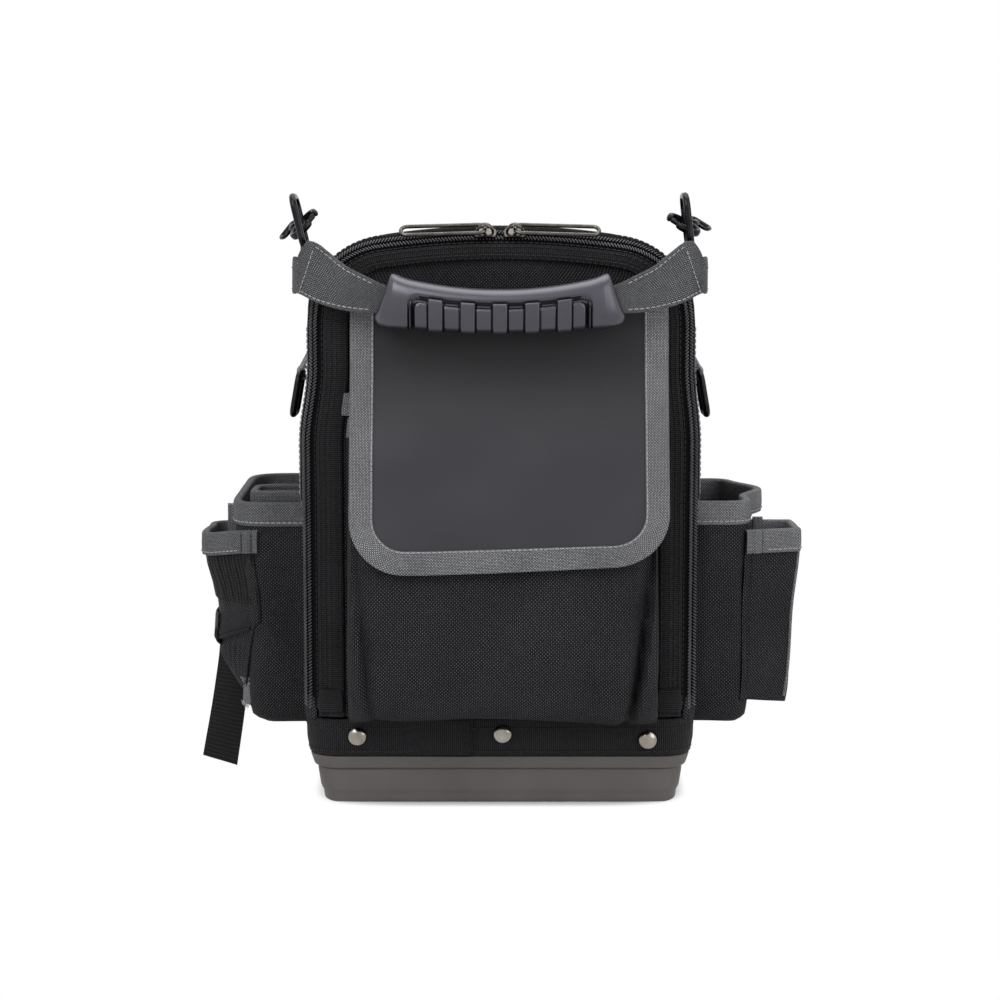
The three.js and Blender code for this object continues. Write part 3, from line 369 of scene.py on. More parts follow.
# Threads over and under each other: in a chequer of cells, each cell is a ridge across or a ridge along.
# The answers are the height of the cloth, 0 to 1, and which of the two threads lies on top, 0 or 1.
def wovenHeight(tree, pitchAcross, pitchAlong):
    scaled = clothCells(tree, pitchAcross, pitchAlong)
    parts = addNode(tree, "SeparateXYZ", {0: scaled.outputs[0]})
    waves, cells = [], []
    for axis in (0, 1):
        turn = addNode(tree, "Math", {0: parts.outputs[axis], 1: pi}, operation="MULTIPLY")
        wave = addNode(tree, "Math", {0: turn.outputs[0]}, operation="SINE")
        waves.append(addNode(tree, "Math", {0: wave.outputs[0]}, operation="ABSOLUTE").outputs[0])
        cells.append(addNode(tree, "Math", {0: parts.outputs[axis]}, operation="FLOOR").outputs[0])
    both = addNode(tree, "Math", {0: cells[0], 1: cells[1]}, operation="ADD")
    odd = addNode(tree, "Math", {0: both.outputs[0], 1: 2.0}, operation="FLOORED_MODULO")
    over = []
    for first, second in ((0, 1), (1, 0)):
        arch = addNode(tree, "Math", {0: waves[second], 1: 0.5, 2: 0.5}, operation="MULTIPLY_ADD")
        over.append(
            addNode(tree, "Math", {0: waves[first], 1: arch.outputs[0]}, operation="MULTIPLY").outputs[0]
        )
    mixed = addNode(tree, "Mix", {0: odd.outputs[0], 2: over[0], 3: over[1]}, data_type="FLOAT")
    return mixed.outputs[0], odd.outputs[0]


# Ribs across the cloth's length: each rib is a ridge whose beads stand between those of the rib before it.
def ribbedHeight(tree, pitchAcross, pitchAlong):
    parts = addNode(tree, "SeparateXYZ", {0: clothCells(tree, pitchAcross, pitchAlong).outputs[0]})
    rib = addNode(tree, "Math", {0: parts.outputs[1]}, operation="FLOOR")
    bead = addNode(tree, "Math", {0: rib.outputs[0], 1: 0.5, 2: parts.outputs[0]}, operation="MULTIPLY_ADD")
    waves = []
    for source in (parts.outputs[1], bead.outputs[0]):
        turn = addNode(tree, "Math", {0: source, 1: pi}, operation="MULTIPLY")
        wave = addNode(tree, "Math", {0: turn.outputs[0]}, operation="SINE")
        waves.append(addNode(tree, "Math", {0: wave.outputs[0]}, operation="ABSOLUTE").outputs[0])
    beads = addNode(tree, "Math", {0: waves[1], 1: 0.45, 2: 0.55}, operation="MULTIPLY_ADD")
    height = addNode(tree, "Math", {0: waves[0], 1: beads.outputs[0]}, operation="MULTIPLY")
    return height.outputs[0], 0.0


# Broad unevenness of dye and dust: 0 to 1 over about size mm.
def blotches(tree, size, detail=3.0):
    place = addNode(tree, "TexCoord")
    noise = addNode(
        tree, "TexNoise",
        {"Vector": place.outputs["Object"], "Scale": 1000 / size, "Detail": detail, "Roughness": 0.55}
    )
    return noise.outputs["Fac"]


# A woven finish: thread tops lighter than the gaps, one way of thread duller than the other, bumps from the
# weave, and dye that varies a little.
def wovenFinish(
    name, gapColour, threadColour, pitches, depth, strength, weave=wovenHeight, dull=0.4, **values
):
    finish, tree, shader = newFinish(name, **values)
    height, crossed = weave(tree, *pitches)
    tops = addNode(tree, "ValToRGB", {0: height})
    tops.color_ramp.elements[0].position, tops.color_ramp.elements[1].position = 0.25, 0.95
    tops.color_ramp.elements[0].color, tops.color_ramp.elements[1].color = toLinear(gapColour), toLinear(
        threadColour
    )
    worn = addNode(tree, "MapRange", {0: blotches(tree, 38), 1: 0.3, 2: 0.7, 3: 0.86, 4: 1.16})
    fuzz = addNode(tree, "MapRange", {0: blotches(tree, 1.3, 1.0), 1: 0.3, 2: 0.7, 3: 0.82, 4: 1.2})
    shade = addNode(tree, "Math", {0: worn.outputs[0], 1: fuzz.outputs[0]}, operation="MULTIPLY")
    way = addNode(tree, "MapRange", {0: crossed, 3: 1.0, 4: dull})
    shade = addNode(tree, "Math", {0: shade.outputs[0], 1: way.outputs[0]}, operation="MULTIPLY")
    tint = addNode(tree, "VectorMath", {0: tops.outputs[0], "Scale": shade.outputs[0]}, operation="SCALE")
    tree.links.new(tint.outputs[0], shader.inputs["Base Color"])
    bump = addNode(tree, "Bump", {"Height": height, "Strength": strength, "Distance": depth * mm})
    tree.links.new(bump.outputs[0], shader.inputs["Normal"])
    return finish


# A solid finish with a fine surface grain and a slight change of tone.
def grainedFinish(name, darkColour, lightColour, grain, depth, strength, spread=25, **values):
    finish, tree, shader = newFinish(name, **values)
    tone = addNode(tree, "ValToRGB", {0: blotches(tree, spread)})
    tone.color_ramp.elements[0].position, tone.color_ramp.elements[1].position = 0.3, 0.7
    tone.color_ramp.elements[0].color, tone.color_ramp.elements[1].color = toLinear(darkColour), toLinear(
        lightColour
    )
    tree.links.new(tone.outputs[0], shader.inputs["Base Color"])
    bump = addNode(
        tree, "Bump", {"Height": blotches(tree, grain, 2.0), "Strength": strength, "Distance": depth * mm}
    )
    tree.links.new(bump.outputs[0], shader.inputs["Normal"])
    return finish


# A finish's tree, its shader and the socket that its colour comes from, for a change of tone over it.
def colourSource(finish):
    tree = finish.node_tree
    shader = next(node for node in tree.nodes if node.type == "BSDF_PRINCIPLED")
    return tree, shader, shader.inputs["Base Color"].links[0].from_socket


# Ballistic nylon, a coarse basket weave of twisted yarn: matt black, with the yarn's crowns catching light
ballisticNylon = wovenFinish(
    "ballisticNylonWoven", "#040405", "#5a585c", (1.02, 1.02), 0.32, 0.9, dull=0.24, Roughness=0.62,
    Specular_IOR_Level=0.06
)
# Nylon gusset tape with fine ribs across: black, a little smoother than the panels
blackWebbing = wovenFinish(
    "blackNylonTapeRibbed", "#060607", "#343235", (0.9, 1.15), 0.3, 0.9, weave=ribbedHeight, Roughness=0.58,
    Specular_IOR_Level=0.1
)
# Nylon strap webbing with coarse ribs across
strapWebbing = wovenFinish(
    "blackNylonStrapRibbed", "#0b0a0b", "#211f22", (1.1, 2.5), 0.3, 0.8, weave=ribbedHeight, Roughness=0.55,
    Specular_IOR_Level=0.12
)
# The zip's knitted tape: dull black with faint ribs
zipCloth = wovenFinish(
    "zipTapeKnitted", "#030304", "#0d0d0f", (0.8, 0.9), 0.15, 0.6, weave=ribbedHeight, Roughness=0.8,
    Specular_IOR_Level=0.05
)
# Polypropylene binding in mid grey: a fine weave of bright rounded picks with dark gaps
greyWebbing = wovenFinish(
    "greyBindingWoven", "#2f3033", "#bcbdc1", (0.8, 0.8), 0.25, 0.8, dull=0.42, Roughness=0.6,
    Specular_IOR_Level=0.12
)
# Polypropylene handle webbing: the same yarn in a coarser weave
greyStrap = wovenFinish(
    "greyHandleWebbingWoven", "#1f2022", "#9d9ea2", (0.66, 0.66), 0.3, 0.9, dull=0.34, Roughness=0.6,
    Specular_IOR_Level=0.12
)
# The same binding on the left, duller with wear
wornBinding = wovenFinish(
    "greyBindingWorn", "#37383b", "#98999d", (0.8, 0.8), 0.25, 0.8, dull=0.42, Roughness=0.62,
    Specular_IOR_Level=0.1
)
# Lining cloth, a finer plain weave in dark grey
liningCloth = wovenFinish(
    "liningPlainWeave", "#1c1d1f", "#414346", (1.0, 1.0), 0.2, 0.6, Roughness=0.75, Specular_IOR_Level=0.1
)
# Elastic tape: long cords side by side with fine wrapping
elasticTape = wovenFinish(
    "elasticTapeRibbed", "#040405", "#39383a", (2.7, 0.9), 0.6, 1.0, dull=0.9, Roughness=0.66,
    Specular_IOR_Level=0.1
)
# Vinyl-coated cloth: smooth blue-black with a soft sheen and faint roller marks, with painted shade from the
# grip darkening it towards the top
coatedVinyl = grainedFinish(
    "coatedVinylSmooth", "#2b2a2f", "#333237", 0.9, 0.05, 0.25, spread=60, Roughness=0.55,
    Specular_IOR_Level=0.35
)
tree, shader, even = colourSource(coatedVinyl)
place = addNode(tree, "SeparateXYZ", {0: addNode(tree, "TexCoord").outputs["Object"]})
# Painted shadow of the grip: the colour falls to 0.4 of itself from z 0.215 to 0.262
gripShadowPainted = addNode(
    tree, "MapRange", {0: place.outputs[2], 1: 0.215, 2: 0.262, 3: 1.0, 4: 0.4},
    interpolation_type="SMOOTHSTEP"
)
tint = addNode(tree, "VectorMath", {0: even, "Scale": gripShadowPainted.outputs[0]}, operation="SCALE")
tree.links.new(tint.outputs[0], shader.inputs["Base Color"])
# Injection-moulded polypropylene with a fine spark-eroded grain
mouldedBase = grainedFinish(
    "mouldedPolypropylene", "#5a5655", "#64605e", 0.7, 0.06, 0.35, spread=40, Roughness=0.62,
    Specular_IOR_Level=0.35
)
# Thermoplastic rubber of the grip: satin, slightly blue, with painted shade that darkens it the deeper it is
# sunk
gripRubber = grainedFinish(
    "mouldedGripRubber", "#1a191f", "#232229", 0.8, 0.05, 0.3, spread=18, Roughness=0.34,
    Specular_IOR_Level=1.0, Specular_Tint=(0.88, 0.87, 1, 1)
)
tree, shader, clean = colourSource(gripRubber)
# Painted shade: the deeper a point is sunk, the more its colour is mixed towards near black
sunk = addNode(tree, "Attribute", attribute_name="sunk")
recessShadePainted = addNode(tree, "Mix", {0: sunk.outputs["Fac"], 6: clean, 7: toLinear("#0b0b0d")}, data_type="RGBA")
tree.links.new(recessShadePainted.outputs[2], shader.inputs["Base Color"])
# Bright steel wire of the zip pulls
steelWire = grainedFinish(
    "steelWirePolished", "#4a4744", "#66625d", 2.5, 0.02, 0.2, spread=5, Metallic=1.0, Roughness=0.24
)
# Nickel-plated brass and steel
nickelPlate = grainedFinish(
    "nickelPlatePolished", "#857f78", "#a19b93", 2.5, 0.02, 0.2, spread=6, Metallic=1.0, Roughness=0.2
)
# Die-cast zinc and wire with black plating
blackPlate = grainedFinish(
    "blackPlatedZinc", "#1d1d20", "#29292d", 1.2, 0.03, 0.25, spread=5, Metallic=0.9, Roughness=0.27
)
# Nylon coil of the zip: smooth black monofilament
zipNylon = grainedFinish(
    "nylonZipCoil", "#3e3d42", "#504f54", 3, 0.02, 0.1, spread=30, Roughness=0.36, Specular_IOR_Level=0.5
)
# Sewing thread, bonded nylon
blackThread = grainedFinish(
    "blackBondedThread", "#121214", "#242326", 0.6, 0.08, 0.5, Roughness=0.5, Specular_IOR_Level=0.25
)
greyThread = grainedFinish(
    "greyBondedThread", "#97989b", "#aeafb2", 0.6, 0.08, 0.5, Roughness=0.55, Specular_IOR_Level=0.3
)
print("finishes ready")

# Body


# The outline seen from the front: up the left side, round the shoulder, over the crown and down the right,
# at equal steps. The outward way turns evenly on each arc, so a point is its arc's centre plus radius x out.
def archLine(bottom=bag["bottom"], step=4.0):
    shoulder, crown, half = bag["shoulder"], bag["crown"], bag["halfWidth"]
    lean = asin((half - shoulder) / (crown - shoulder))
    crownZ, cornerX = bag["top"] - crown, half - shoulder
    cornerZ = crownZ + (crown - shoulder) * cos(lean)
    side, turn, top = cornerZ - bottom, shoulder * (pi / 2 - lean), 2 * crown * lean
    knots = np.cumsum([0, side, turn, top, turn, side])
    s = np.linspace(0, knots[-1], int(knots[-1] / step) + 1)
    angle = np.interp(s, knots, [pi, pi, pi / 2 + lean, pi / 2 - lean, 0, 0])
    out = np.stack([np.cos(angle), np.zeros_like(s), np.sin(angle)], 1)
    part = np.clip(np.searchsorted(knots, s, side="right") - 1, 0, 4)
    radius = np.array([shoulder, shoulder, crown, shoulder, shoulder])[part]
    centreX = np.array([-cornerX, -cornerX, 0, cornerX, cornerX])[part]
    centreZ = np.choose(part, [bottom + s, cornerZ, crownZ, cornerZ, bottom + knots[-1] - s])
    middle = np.stack([centreX, np.zeros_like(s), centreZ], 1)
    return middle + out * radius[:, None], out, np.broadcast_to([0.0, 1.0, 0.0], out.shape)


# Half the arch's width at a height, inside an inset: straight, then the shoulder's arc, then the crown's.
def archHalf(z, inset):
    shoulder, crown, half = bag["shoulder"], bag["crown"], bag["halfWidth"]
    lean = asin((half - shoulder) / (crown - shoulder))
    crownZ, cornerX = bag["top"] - crown, half - shoulder
    cornerZ = crownZ + (crown - shoulder) * cos(lean)
    onCorner = cornerX + np.sqrt(np.maximum((shoulder - inset) ** 2 - (z - cornerZ) ** 2, 0))
    onCrown = np.sqrt(np.maximum((crown - inset) ** 2 - (z - crownZ) ** 2, 0))
    meet = cornerZ + (shoulder - inset) * cos(lean)
    return np.where(z < cornerZ, half - inset, np.where(z < meet, onCorner, onCrown))


# A panel with the arch's outline: rows of heights that crowd towards the top, and columns across.
def archSheet(inset, bottom, y, rows=70, cols=60):
    top = bag["top"] - inset - 0.02
    z = bottom + (top - bottom) * (1 - (1 - np.linspace(0, 1, rows)) ** 1.6)
    x = archHalf(z, inset)[:, None] * np.linspace(-1, 1, cols)
    return np.stack([x, np.full_like(x, y), np.broadcast_to(z[:, None], x.shape)], 2)


# The tub's profile is (in from the outline, height). Below slopeTop its front and back lean out by slope.
base = dict(
    halfX=112.6, halfY=83, corner=18, slope=5.5, slopeTop=24, slopeHeight=20,
    outside=[(11.4, 0), (9.2, 0.12), (8.3, 0.7), (8, 2.2), (7.7, 4.6), (7.3, 5.9), (6.5, 7), (6, 8.4),
             (5.4, 12), (4.7, 16.4), (4.4, 19.2), (4.6, 20.1), (4.3, 20.5), (3, 20.6), (2.3, 21.1),
             (1.7, 22.6), (0.9, 25), (0.2, 27.2), (0.3, 27.8), (1, 28.1), (2.4, 28.15), (2.4, 47)],
    inside=[(5, 47), (5, 21.6), (8.4, 20.6), (11.4, 4.6), (14, 4.4)],
)


# A round-cornered rectangle round the base: points, outward ways and the upward way, at a number of steps.
def baseLine(steps=176):
    halfX, halfY, r = base["halfX"], base["halfY"], base["corner"]
    knots = np.cumsum([0] + [2 * (halfX - r), pi * r / 2, 2 * (halfY - r), pi * r / 2] * 2)
    s = np.linspace(0, knots[-1], steps, endpoint=False)
    angle = np.interp(s, knots, np.array([-1, -1, 0, 0, 1, 1, 2, 2, 3]) * pi / 2)
    out = np.stack([np.cos(angle), np.sin(angle), np.zeros_like(s)], 1)
    part = np.clip(np.searchsorted(knots, s, side="right") - 1, 0, 7)
    run = s - knots[part]
    x = np.choose(
        part,
        [run - halfX + r, halfX - r, halfX - r, halfX - r, halfX - r - run, r - halfX, r - halfX, r - halfX]
    )
    y = np.choose(
        part,
        [r - halfY, r - halfY, run - halfY + r, halfY - r, halfY - r, halfY - r, halfY - r - run, r - halfY]
    )
    middle = np.stack([x, y, np.zeros_like(s)], 1)
    return middle + out * r, out, np.broadcast_to([0.0, 0.0, 1.0], out.shape)


points, outs, ups = baseLine()
levels = np.array(base["outside"] + base["inside"]) * (-1, 1)
grid = carry(points, outs, ups, levels)
leanOut = np.clip((base["slopeTop"] - grid[..., 2]) / base["slopeHeight"], 0, 1)
grid[..., 1] += base["slope"] * outs[:, None, 1] * leanOut
tub = surface("baseTub", np.transpose(grid, (1, 0, 2)), closed=True, sharp=38)
fit(tub, mouldedBase, "body", ["base_tub"])

# The skirt's section, a closed loop that flares towards its top. Its outer end laps over itself at the front.
skirt = dict(
    section=[(-2.1, 28.45), (0.2, 28.45), (1.7, 37), (2.1, 51), (0.2, 51.2), (-2.1, 46)],
    stitchZ=(31.6, 45.4),
    lapX=-17, lapLength=46, lapRise=1.5, dip=0.9,
)
points, outs, ups = baseLine(560)
section = softLoop(skirt["section"], 1.2, 5)
onFront = (points[:, 1] < 0) & (abs(outs[:, 1]) > 0.99) & (points[:, 0] < skirt["lapX"])
lap = skirt["lapRise"] * onFront * np.clip(1 - (skirt["lapX"] - points[:, 0]) / skirt["lapLength"], 0, 1)
lap -= skirt["dip"] * np.exp(-(((points[:, 0] - skirt["lapX"] - 1.2) / 1.3) ** 2)) * (points[:, 1] < 0)
wavy = 0.35 * np.sin(points[:, 0] / 17 + 1) * np.sin(points[:, 1] / 13)
loops = np.repeat(section[None], len(points), 0)
loops[..., 0] += np.where(section[:, 0] > 0, (lap + wavy)[:, None], 0)
band = surface("baseSkirt", carry(points, outs, ups, loops), closed=True, looped=True)
fit(band, blackWebbing, "body", ["base_skirt"])
flare = np.array(skirt["section"])[1:4]
for height in skirt["stitchZ"]:
    ring = carry(points, outs, ups, [(np.interp(height, flare[:, 1], flare[:, 0]) - 0.1, height)])[:, 0]
    sew("threadBody", np.concatenate([ring, ring[:1]]), np.concatenate([outs, outs[:1]]), lift=0.35)
sew("threadBody", [(-20.5, -84.6, 31), (-20.5, -86.9, 46)], (0, -1, 0), lift=0.75)

# A domed head, its shank through the skirt, and the washer inside. The heads on the front sit unevenly.
rivet = dict(
    profile=[(0.02, 2.4), (1.2, 2.36), (2.6, 2.1), (4.1, 1.55), (5.1, 0.8), (5.5, 0.2), (5.5, 0), (1.8, 0),
             (1.8, -9.6), (4, -9.6), (4, -10.6), (0.02, -10.6)],
    y=85.7, z=40, shift=1.5, rows=(("left", -85, 0.6), ("middle", 0, 2), ("right", 85, -1.4)),
)
for side, sign in (("front", -1), ("back", 1)):
    for place, x, rise in rivet["rows"]:
        seat = (x - sign * rivet["shift"], sign * rivet["y"], rivet["z"] - sign * rise)
        head = turnedGrid(rivet["profile"], seat, (0, sign, 0))
        fit(
            surface(f"rivet{side.title()}{place.title()}", head, closed=True, sharp=60), nickelPlate, "body",
            [f"rivet_{side}_{place}"]
        )
print("base ready")

# The sewn body. Its wall is one section of (out, y) points carried over the arch; between its seams the
# cloth is drawn in a little and wrinkles.
wall = dict(thickness=4.0, drawn=1.6, wrinkle=0.9)
points, outs, ups = archLine(bag["bottom"] + 0.1, 3.6)
outerY = np.linspace(bag["back"] - 0.5, bag["front"] + 2, 34)
outer = np.stack([np.zeros_like(outerY), outerY], 1)
rim = [(-0.3, -69.2), (-1.2, -70), (-3, -70), (-3.8, -69.2)]
inner = np.linspace(bag["front"] + 2, bag["back"] - wall["thickness"], 12)
inner = np.stack([np.full(12, -wall["thickness"]), inner], 1)
section = np.concatenate([outer, rim, inner])
wallGrid = carry(points, outs, ups, section)
across = np.clip((section[:, 1] - bag["front"]) / (bag["back"] - bag["front"]), 0, 1)
soft = np.where(np.arange(len(section)) < len(outer), np.sin(pi * across) ** 0.6, 0)
sink = wall["drawn"] * soft + wall["wrinkle"] * soft * (1 + unevenness(wallGrid * (1, 1, 0.45), 46, 3))
onTop = np.clip((points[:, 2] - 290) / 40, 0, 1)[:, None]
sink = sink * (1 - 0.45 * onTop)
bodyWall = surface("bodyWall", wallGrid - outs[:, None] * sink[..., None], closed=True)
fit(bodyWall, ballisticNylon, "body", ["body_shell"])

backGrid = archSheet(0.6, bag["bottom"] + 0.1, bag["back"] - 0.2)
backGrid[..., 1] -= 1.2 * np.clip(1 - (backGrid[..., 0] / 112) ** 4, 0, 1)
bodyBack = thicken(surface("bodyBack", backGrid, facing=(0, 1, 0)), 3.4)
fit(bodyBack, ballisticNylon, "body", ["body_shell"])

# Piping over the seam between wall and back, and the seam tape beside it
piping = carry(points, outs, ups, [(-0.9, 79.4)])[:, 0]
cord = surface("backPiping", tubeGrid(piping, 2.1, 12, (0, 1, 0)), closed=True)
fit(cord, blackWebbing, "body")
for depth in (73.5, -66.2):
    sew("threadBody", carry(points, outs, ups, [(-1.0 if depth > 0 else -0.6, depth)])[:, 0], outs)

# The padded back: a crowned pad with sewn channels, thin at its seam
pad = dict(inset=14, bottom=62, bulk=7.2, channels=(118, 176, 234), groove=4.6)
padGrid = archSheet(pad["inset"], pad["bottom"], bag["back"] + 0.3, 110, 110)
x, z = padGrid[..., 0], padGrid[..., 2]
edge = np.minimum(archHalf(z, pad["inset"]) - abs(x), z - pad["bottom"])
edge = np.minimum(edge, np.maximum(bag["top"] - pad["inset"] - z, 0) * 1.3)
crowned = pad["bulk"] * (1 - np.exp(-np.maximum(edge, 0) / 7.5))
for channel in pad["channels"]:
    crowned -= pad["groove"] * np.exp(-(((z - channel) / 4.2) ** 2)) * np.clip(edge / 12, 0, 1)
crowned -= pad["groove"] * 0.8 * np.exp(-((x / 4.2) ** 2)) * np.clip(edge / 12, 0, 1)
padGrid[..., 1] += np.maximum(crowned, 0.25) + 0.25 * unevenness(padGrid, 24, 8) * np.clip(edge / 10, 0, 1)
backPad = thicken(surface("backPad", padGrid, facing=(0, 1, 0)), 0.25)
fit(backPad, ballisticNylon, "body", ["back_panel"])
for channel in pad["channels"]:
    sew("threadBody", [(-88, 83.0, channel), (88, 83.0, channel)], (0, 1, 0))
sew("threadBody", [(0, 83.6, 70), (0, 83.6, 314)], (0, 1, 0))

# Stiff boards and the boot inside the base keep their CAD shape: pressed fibreboard faced with lining cloth
board = grainedFinish(
    "fibreboardFaced", "#2b2d2f", "#36393b", 1.1, 0.1, 0.4, Roughness=0.8, Specular_IOR_Level=0.25
)
for node in ("floor_board", "tool_panel", "boot_band", "boot_tray"):
    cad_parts[node].data.materials.clear()
    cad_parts[node].data.materials.append(board)


# A row of tool pockets: the front is one cloth that bulges between the seams, open at the top, with its
# bottom tucked in, and a bound rim.
def toolTier(name, node, bottom, height, depth, cells):
    back, half = 72.4, 92
    pitch = 2 * half / cells
    rise = np.concatenate([[0, 0.4, 2, 5], np.linspace(10, height, 16)])
    x = np.linspace(-half, half, cells * 22 + 1)
    between = abs(np.sin(pi * (x + half) / pitch)) ** 0.55
    grow = np.clip(np.interp(rise, [0, 0.4, 2, 5, 10, height], [0.1, 0.5, 0.75, 0.88, 0.95, 1]), 0, 1)
    y = back - 1 - (depth - 2) * grow[:, None] * (0.16 + 0.84 * between)
    grid = np.stack([np.broadcast_to(x, y.shape), y, np.broadcast_to((bottom + rise)[:, None], y.shape)], 2)
    cloth = thicken(surface(name, grid), 1.3)
    fit(cloth, liningCloth, "body", [node])
    tape = softLoop(
        [(0.7, -9), (0.7, 0.8), (-2, 0.8), (-2, -9), (-1.4, -9), (-1.4, 0.1), (0.1, 0.1), (0.1, -9)], 0.4, 3
    )
    rim = surface(name + "Binding", alongLine(grid[-1], tape), closed=True)
    fit(rim, greyWebbing, "body")
    for k in range(1, cells):
        seamX = -half + k * pitch
        sew(
            "threadBody", [(seamX, back - 5, bottom + 6), (seamX, back - 5.6, bottom + height - 10)],
            (0, -1, 0), lift=0.3
        )


toolTier("toolTierLower", "tool_tier_lower", 62, 79, 25, 4)
toolTier("toolTierUpper", "tool_tier_upper", 170, 65, 17, 5)
print("body ready")

# Zip

# In the plane square to the zip's run, as (out, y): the way towards the body, and the way the teeth face
slope = radians(bag["zipSlope"])
towardsBody, teethFace = np.array([sin(slope), cos(slope)]), np.array([cos(slope), -sin(slope)])
chain = np.array([-bag["zipInset"], bag["zipFront"]])
zipper = dict(pitch=1.9, length=3.7, radii=(0.46, 0.75), slant=32, start=6.6, wider=1.7)


# One half of the zip: a folded tape carried over the arch, and a row of coil turns, each a small bar.
def zipHalf(side, body, node, edge):
    points, outs, ups = archLine(bag["bottom"] + zipper["start"], 4)
    loops = []
    for shift in (0, zipper["wider"]):
        near, far = (chain + (shift, 0) + towardsBody * reach * side for reach in (0.25, 4.5))
        section = [
            near - teethFace * 0.5, far - teethFace * 0.35, edge[0], edge[1], far - teethFace * 1.9,
            near - teethFace * 1.9
        ]
        loops.append(softLoop(section, 0.5, 3))
    loops = loops[0] + (loops[1] - loops[0]) * abs(outs[:, :1, None]) ** 3
    tape = surface("zipTape" + body.title(), carry(points, outs, ups, loops), closed=True)
    fit(tape, zipCloth, body, [node])
    # The door's turns lie half a pitch after the body's
    bottom = bag["bottom"] + zipper["start"] + 1.2 + (0.5 + side * 0.5) * zipper["pitch"] / 2
    points, outs, ups = archLine(bottom, zipper["pitch"])
    ahead = unit(np.gradient(points, axis=0))
    spread = outs * towardsBody[0] + ups * towardsBody[1]
    face = outs * teethFace[0] + ups * teethFace[1]
    inset = chain[0] + zipper["wider"] * abs(outs[:, :1]) ** 3
    centre = points + outs * inset + ups * chain[1] + spread * side * 2.3 + face * 0.35
    tilt = radians(zipper["slant"]) * side
    length = spread * cos(tilt) + ahead * sin(tilt)
    shape = barShape(zipper["length"], zipper["radii"])
    coil = repeated("zipCoil" + body.title(), *shape, centre, length, np.cross(face, length), face)
    fit(coil, zipNylon, body)
    if body == "door":
        sew("threadDoor", points + outs * (edge[0][0] + 0.4) + ups * (edge[0][1] - 0.1), -ups)
    else:
        sew("threadBody", points + outs * -0.2 + ups * -68.6, outs)


zipHalf(1, "body", "zip_half_body", [np.array([-0.5, -70.2]), np.array([-2.4, -70.2])])
zipHalf(-1, "door", "zip_half_door", [np.array([-9.3, -84.0]), np.array([-9.3, -81.8])])

# A patch of the body's cloth covers each lower end of the zip, and one of tape each foot of the door's band
lowerEnds = dict(
    z=np.array([49.8, 50.2, 52, 58, 63.4, 64.3, 64.7]), sizes=(0.2, 0.8, 1, 1, 0.9, 0.6, 0.15), bandRise=5,
    zipEnd=[(115.4, -69.8), (115.3, -73.5), (111.5, -79.6), (107.2, -82.6), (106.9, -79), (111, -71)],
    bandFoot=[(106.2, -84.4), (106.2, -86.4), (104.8, -87.5), (91.6, -87.7), (91, -86), (91, -84.4)],
)
for side, label in ((-1, "Left"), (1, "Right")):
    patch = pillar(softLoop(lowerEnds["zipEnd"], 1.6, 4), lowerEnds["z"], lowerEnds["sizes"]) * (side, 1, 1)
    fit(surface("zipEnd" + label, patch, closed=True), ballisticNylon, "body")
    bandZ = lowerEnds["z"] + lowerEnds["bandRise"]
    patch = pillar(softLoop(lowerEnds["bandFoot"], 0.7, 4), bandZ, lowerEnds["sizes"]) * (side, 1, 1)
    fit(surface("bandFoot" + label, patch, closed=True), blackWebbing, "door")
print("zip ready")

# Door

doorGrid = archSheet(bag["doorInset"] + 0.2, 52.6, bag["doorFront"] + 0.2, 80, 70)
reach = np.clip(1 - (doorGrid[..., 0] / 95) ** 2, 0, 1) * np.clip((doorGrid[..., 2] - 200) / 60, 0, 1)
doorGrid[..., 1] += 0.9 * reach * (0.4 + unevenness(doorGrid, 70, 12))
doorCloth = thicken(surface("doorPanel", doorGrid), 3.4)
fit(doorCloth, ballisticNylon, "door", ["door_panel"])

# The edge band: flat tape next to the zip, then a raised band sewn down on both its sides. It is narrower
# over the crown.
points, outs, ups = archLine(52.6, 3.2)
narrow = 6.5 * np.clip(outs[:, 2], 0, 1) ** 2 + 1.6 * np.clip(outs[:, 0], 0, 1)
section = softLoop(
    [(-9.6, -84.5), (-9.7, -85.5), (-15.2, -85.7), (-15.6, -86.4), (-20, -86.75), (-24.6, -86.3),
     (-24.9, -84.5)],
    0.5, 4
)
across = section[:, 0] + narrow[:, None] * np.clip((-section[:, 0] - 15.4) / 9.5, 0, 1)
section = np.stack([across, np.broadcast_to(section[:, 1], across.shape)], 2)
doorBand = surface("doorBand", carry(points, outs, ups, section), closed=True)
fit(doorBand, blackWebbing, "door", ["door_band"])
for inset, y in ((11.2, -85.6), (14.2, -85.7), (17.2, -86.55), (23.2, -86.55)):
    across = np.stack(
        [narrow * np.clip((inset - 15.4) / 9.5, 0, 1) - inset, np.full(len(points), y)], 1
    )[:, None]
    sew("threadDoor", carry(points, outs, ups, across)[:, 0], (0, -1, 0), lift=0.3)

# The front pocket: each height is half a rounded rectangle that stands on the door. Its bottom is tucked up
# in the middle, both its sides fold in, and the front sinks beside each side's ridge.
pocket = dict(
    z=(51.6, 56.6, 70.4, 92.4, 140.4, 200.4, 227.4), depth=(17, 27, 34, 37, 34, 22.5, 15.5),
    drawn=(0.8, 0.5, 0.2, 0, 0, 0, 0),
    left=-88.5, right=92, wall=1.8, pleat=4, bottomRise=3.2, uneven=1.3, valleys=(13, 6),
    ridgeZ=(50, 56, 68, 82, 108, 138, 230), ridgeRight=(79, 82, 84.2, 86, 88, 90, 91.5),
    ridgeLeft=(-77, -80, -82, -82.6, -83.4, -85, -87),
)


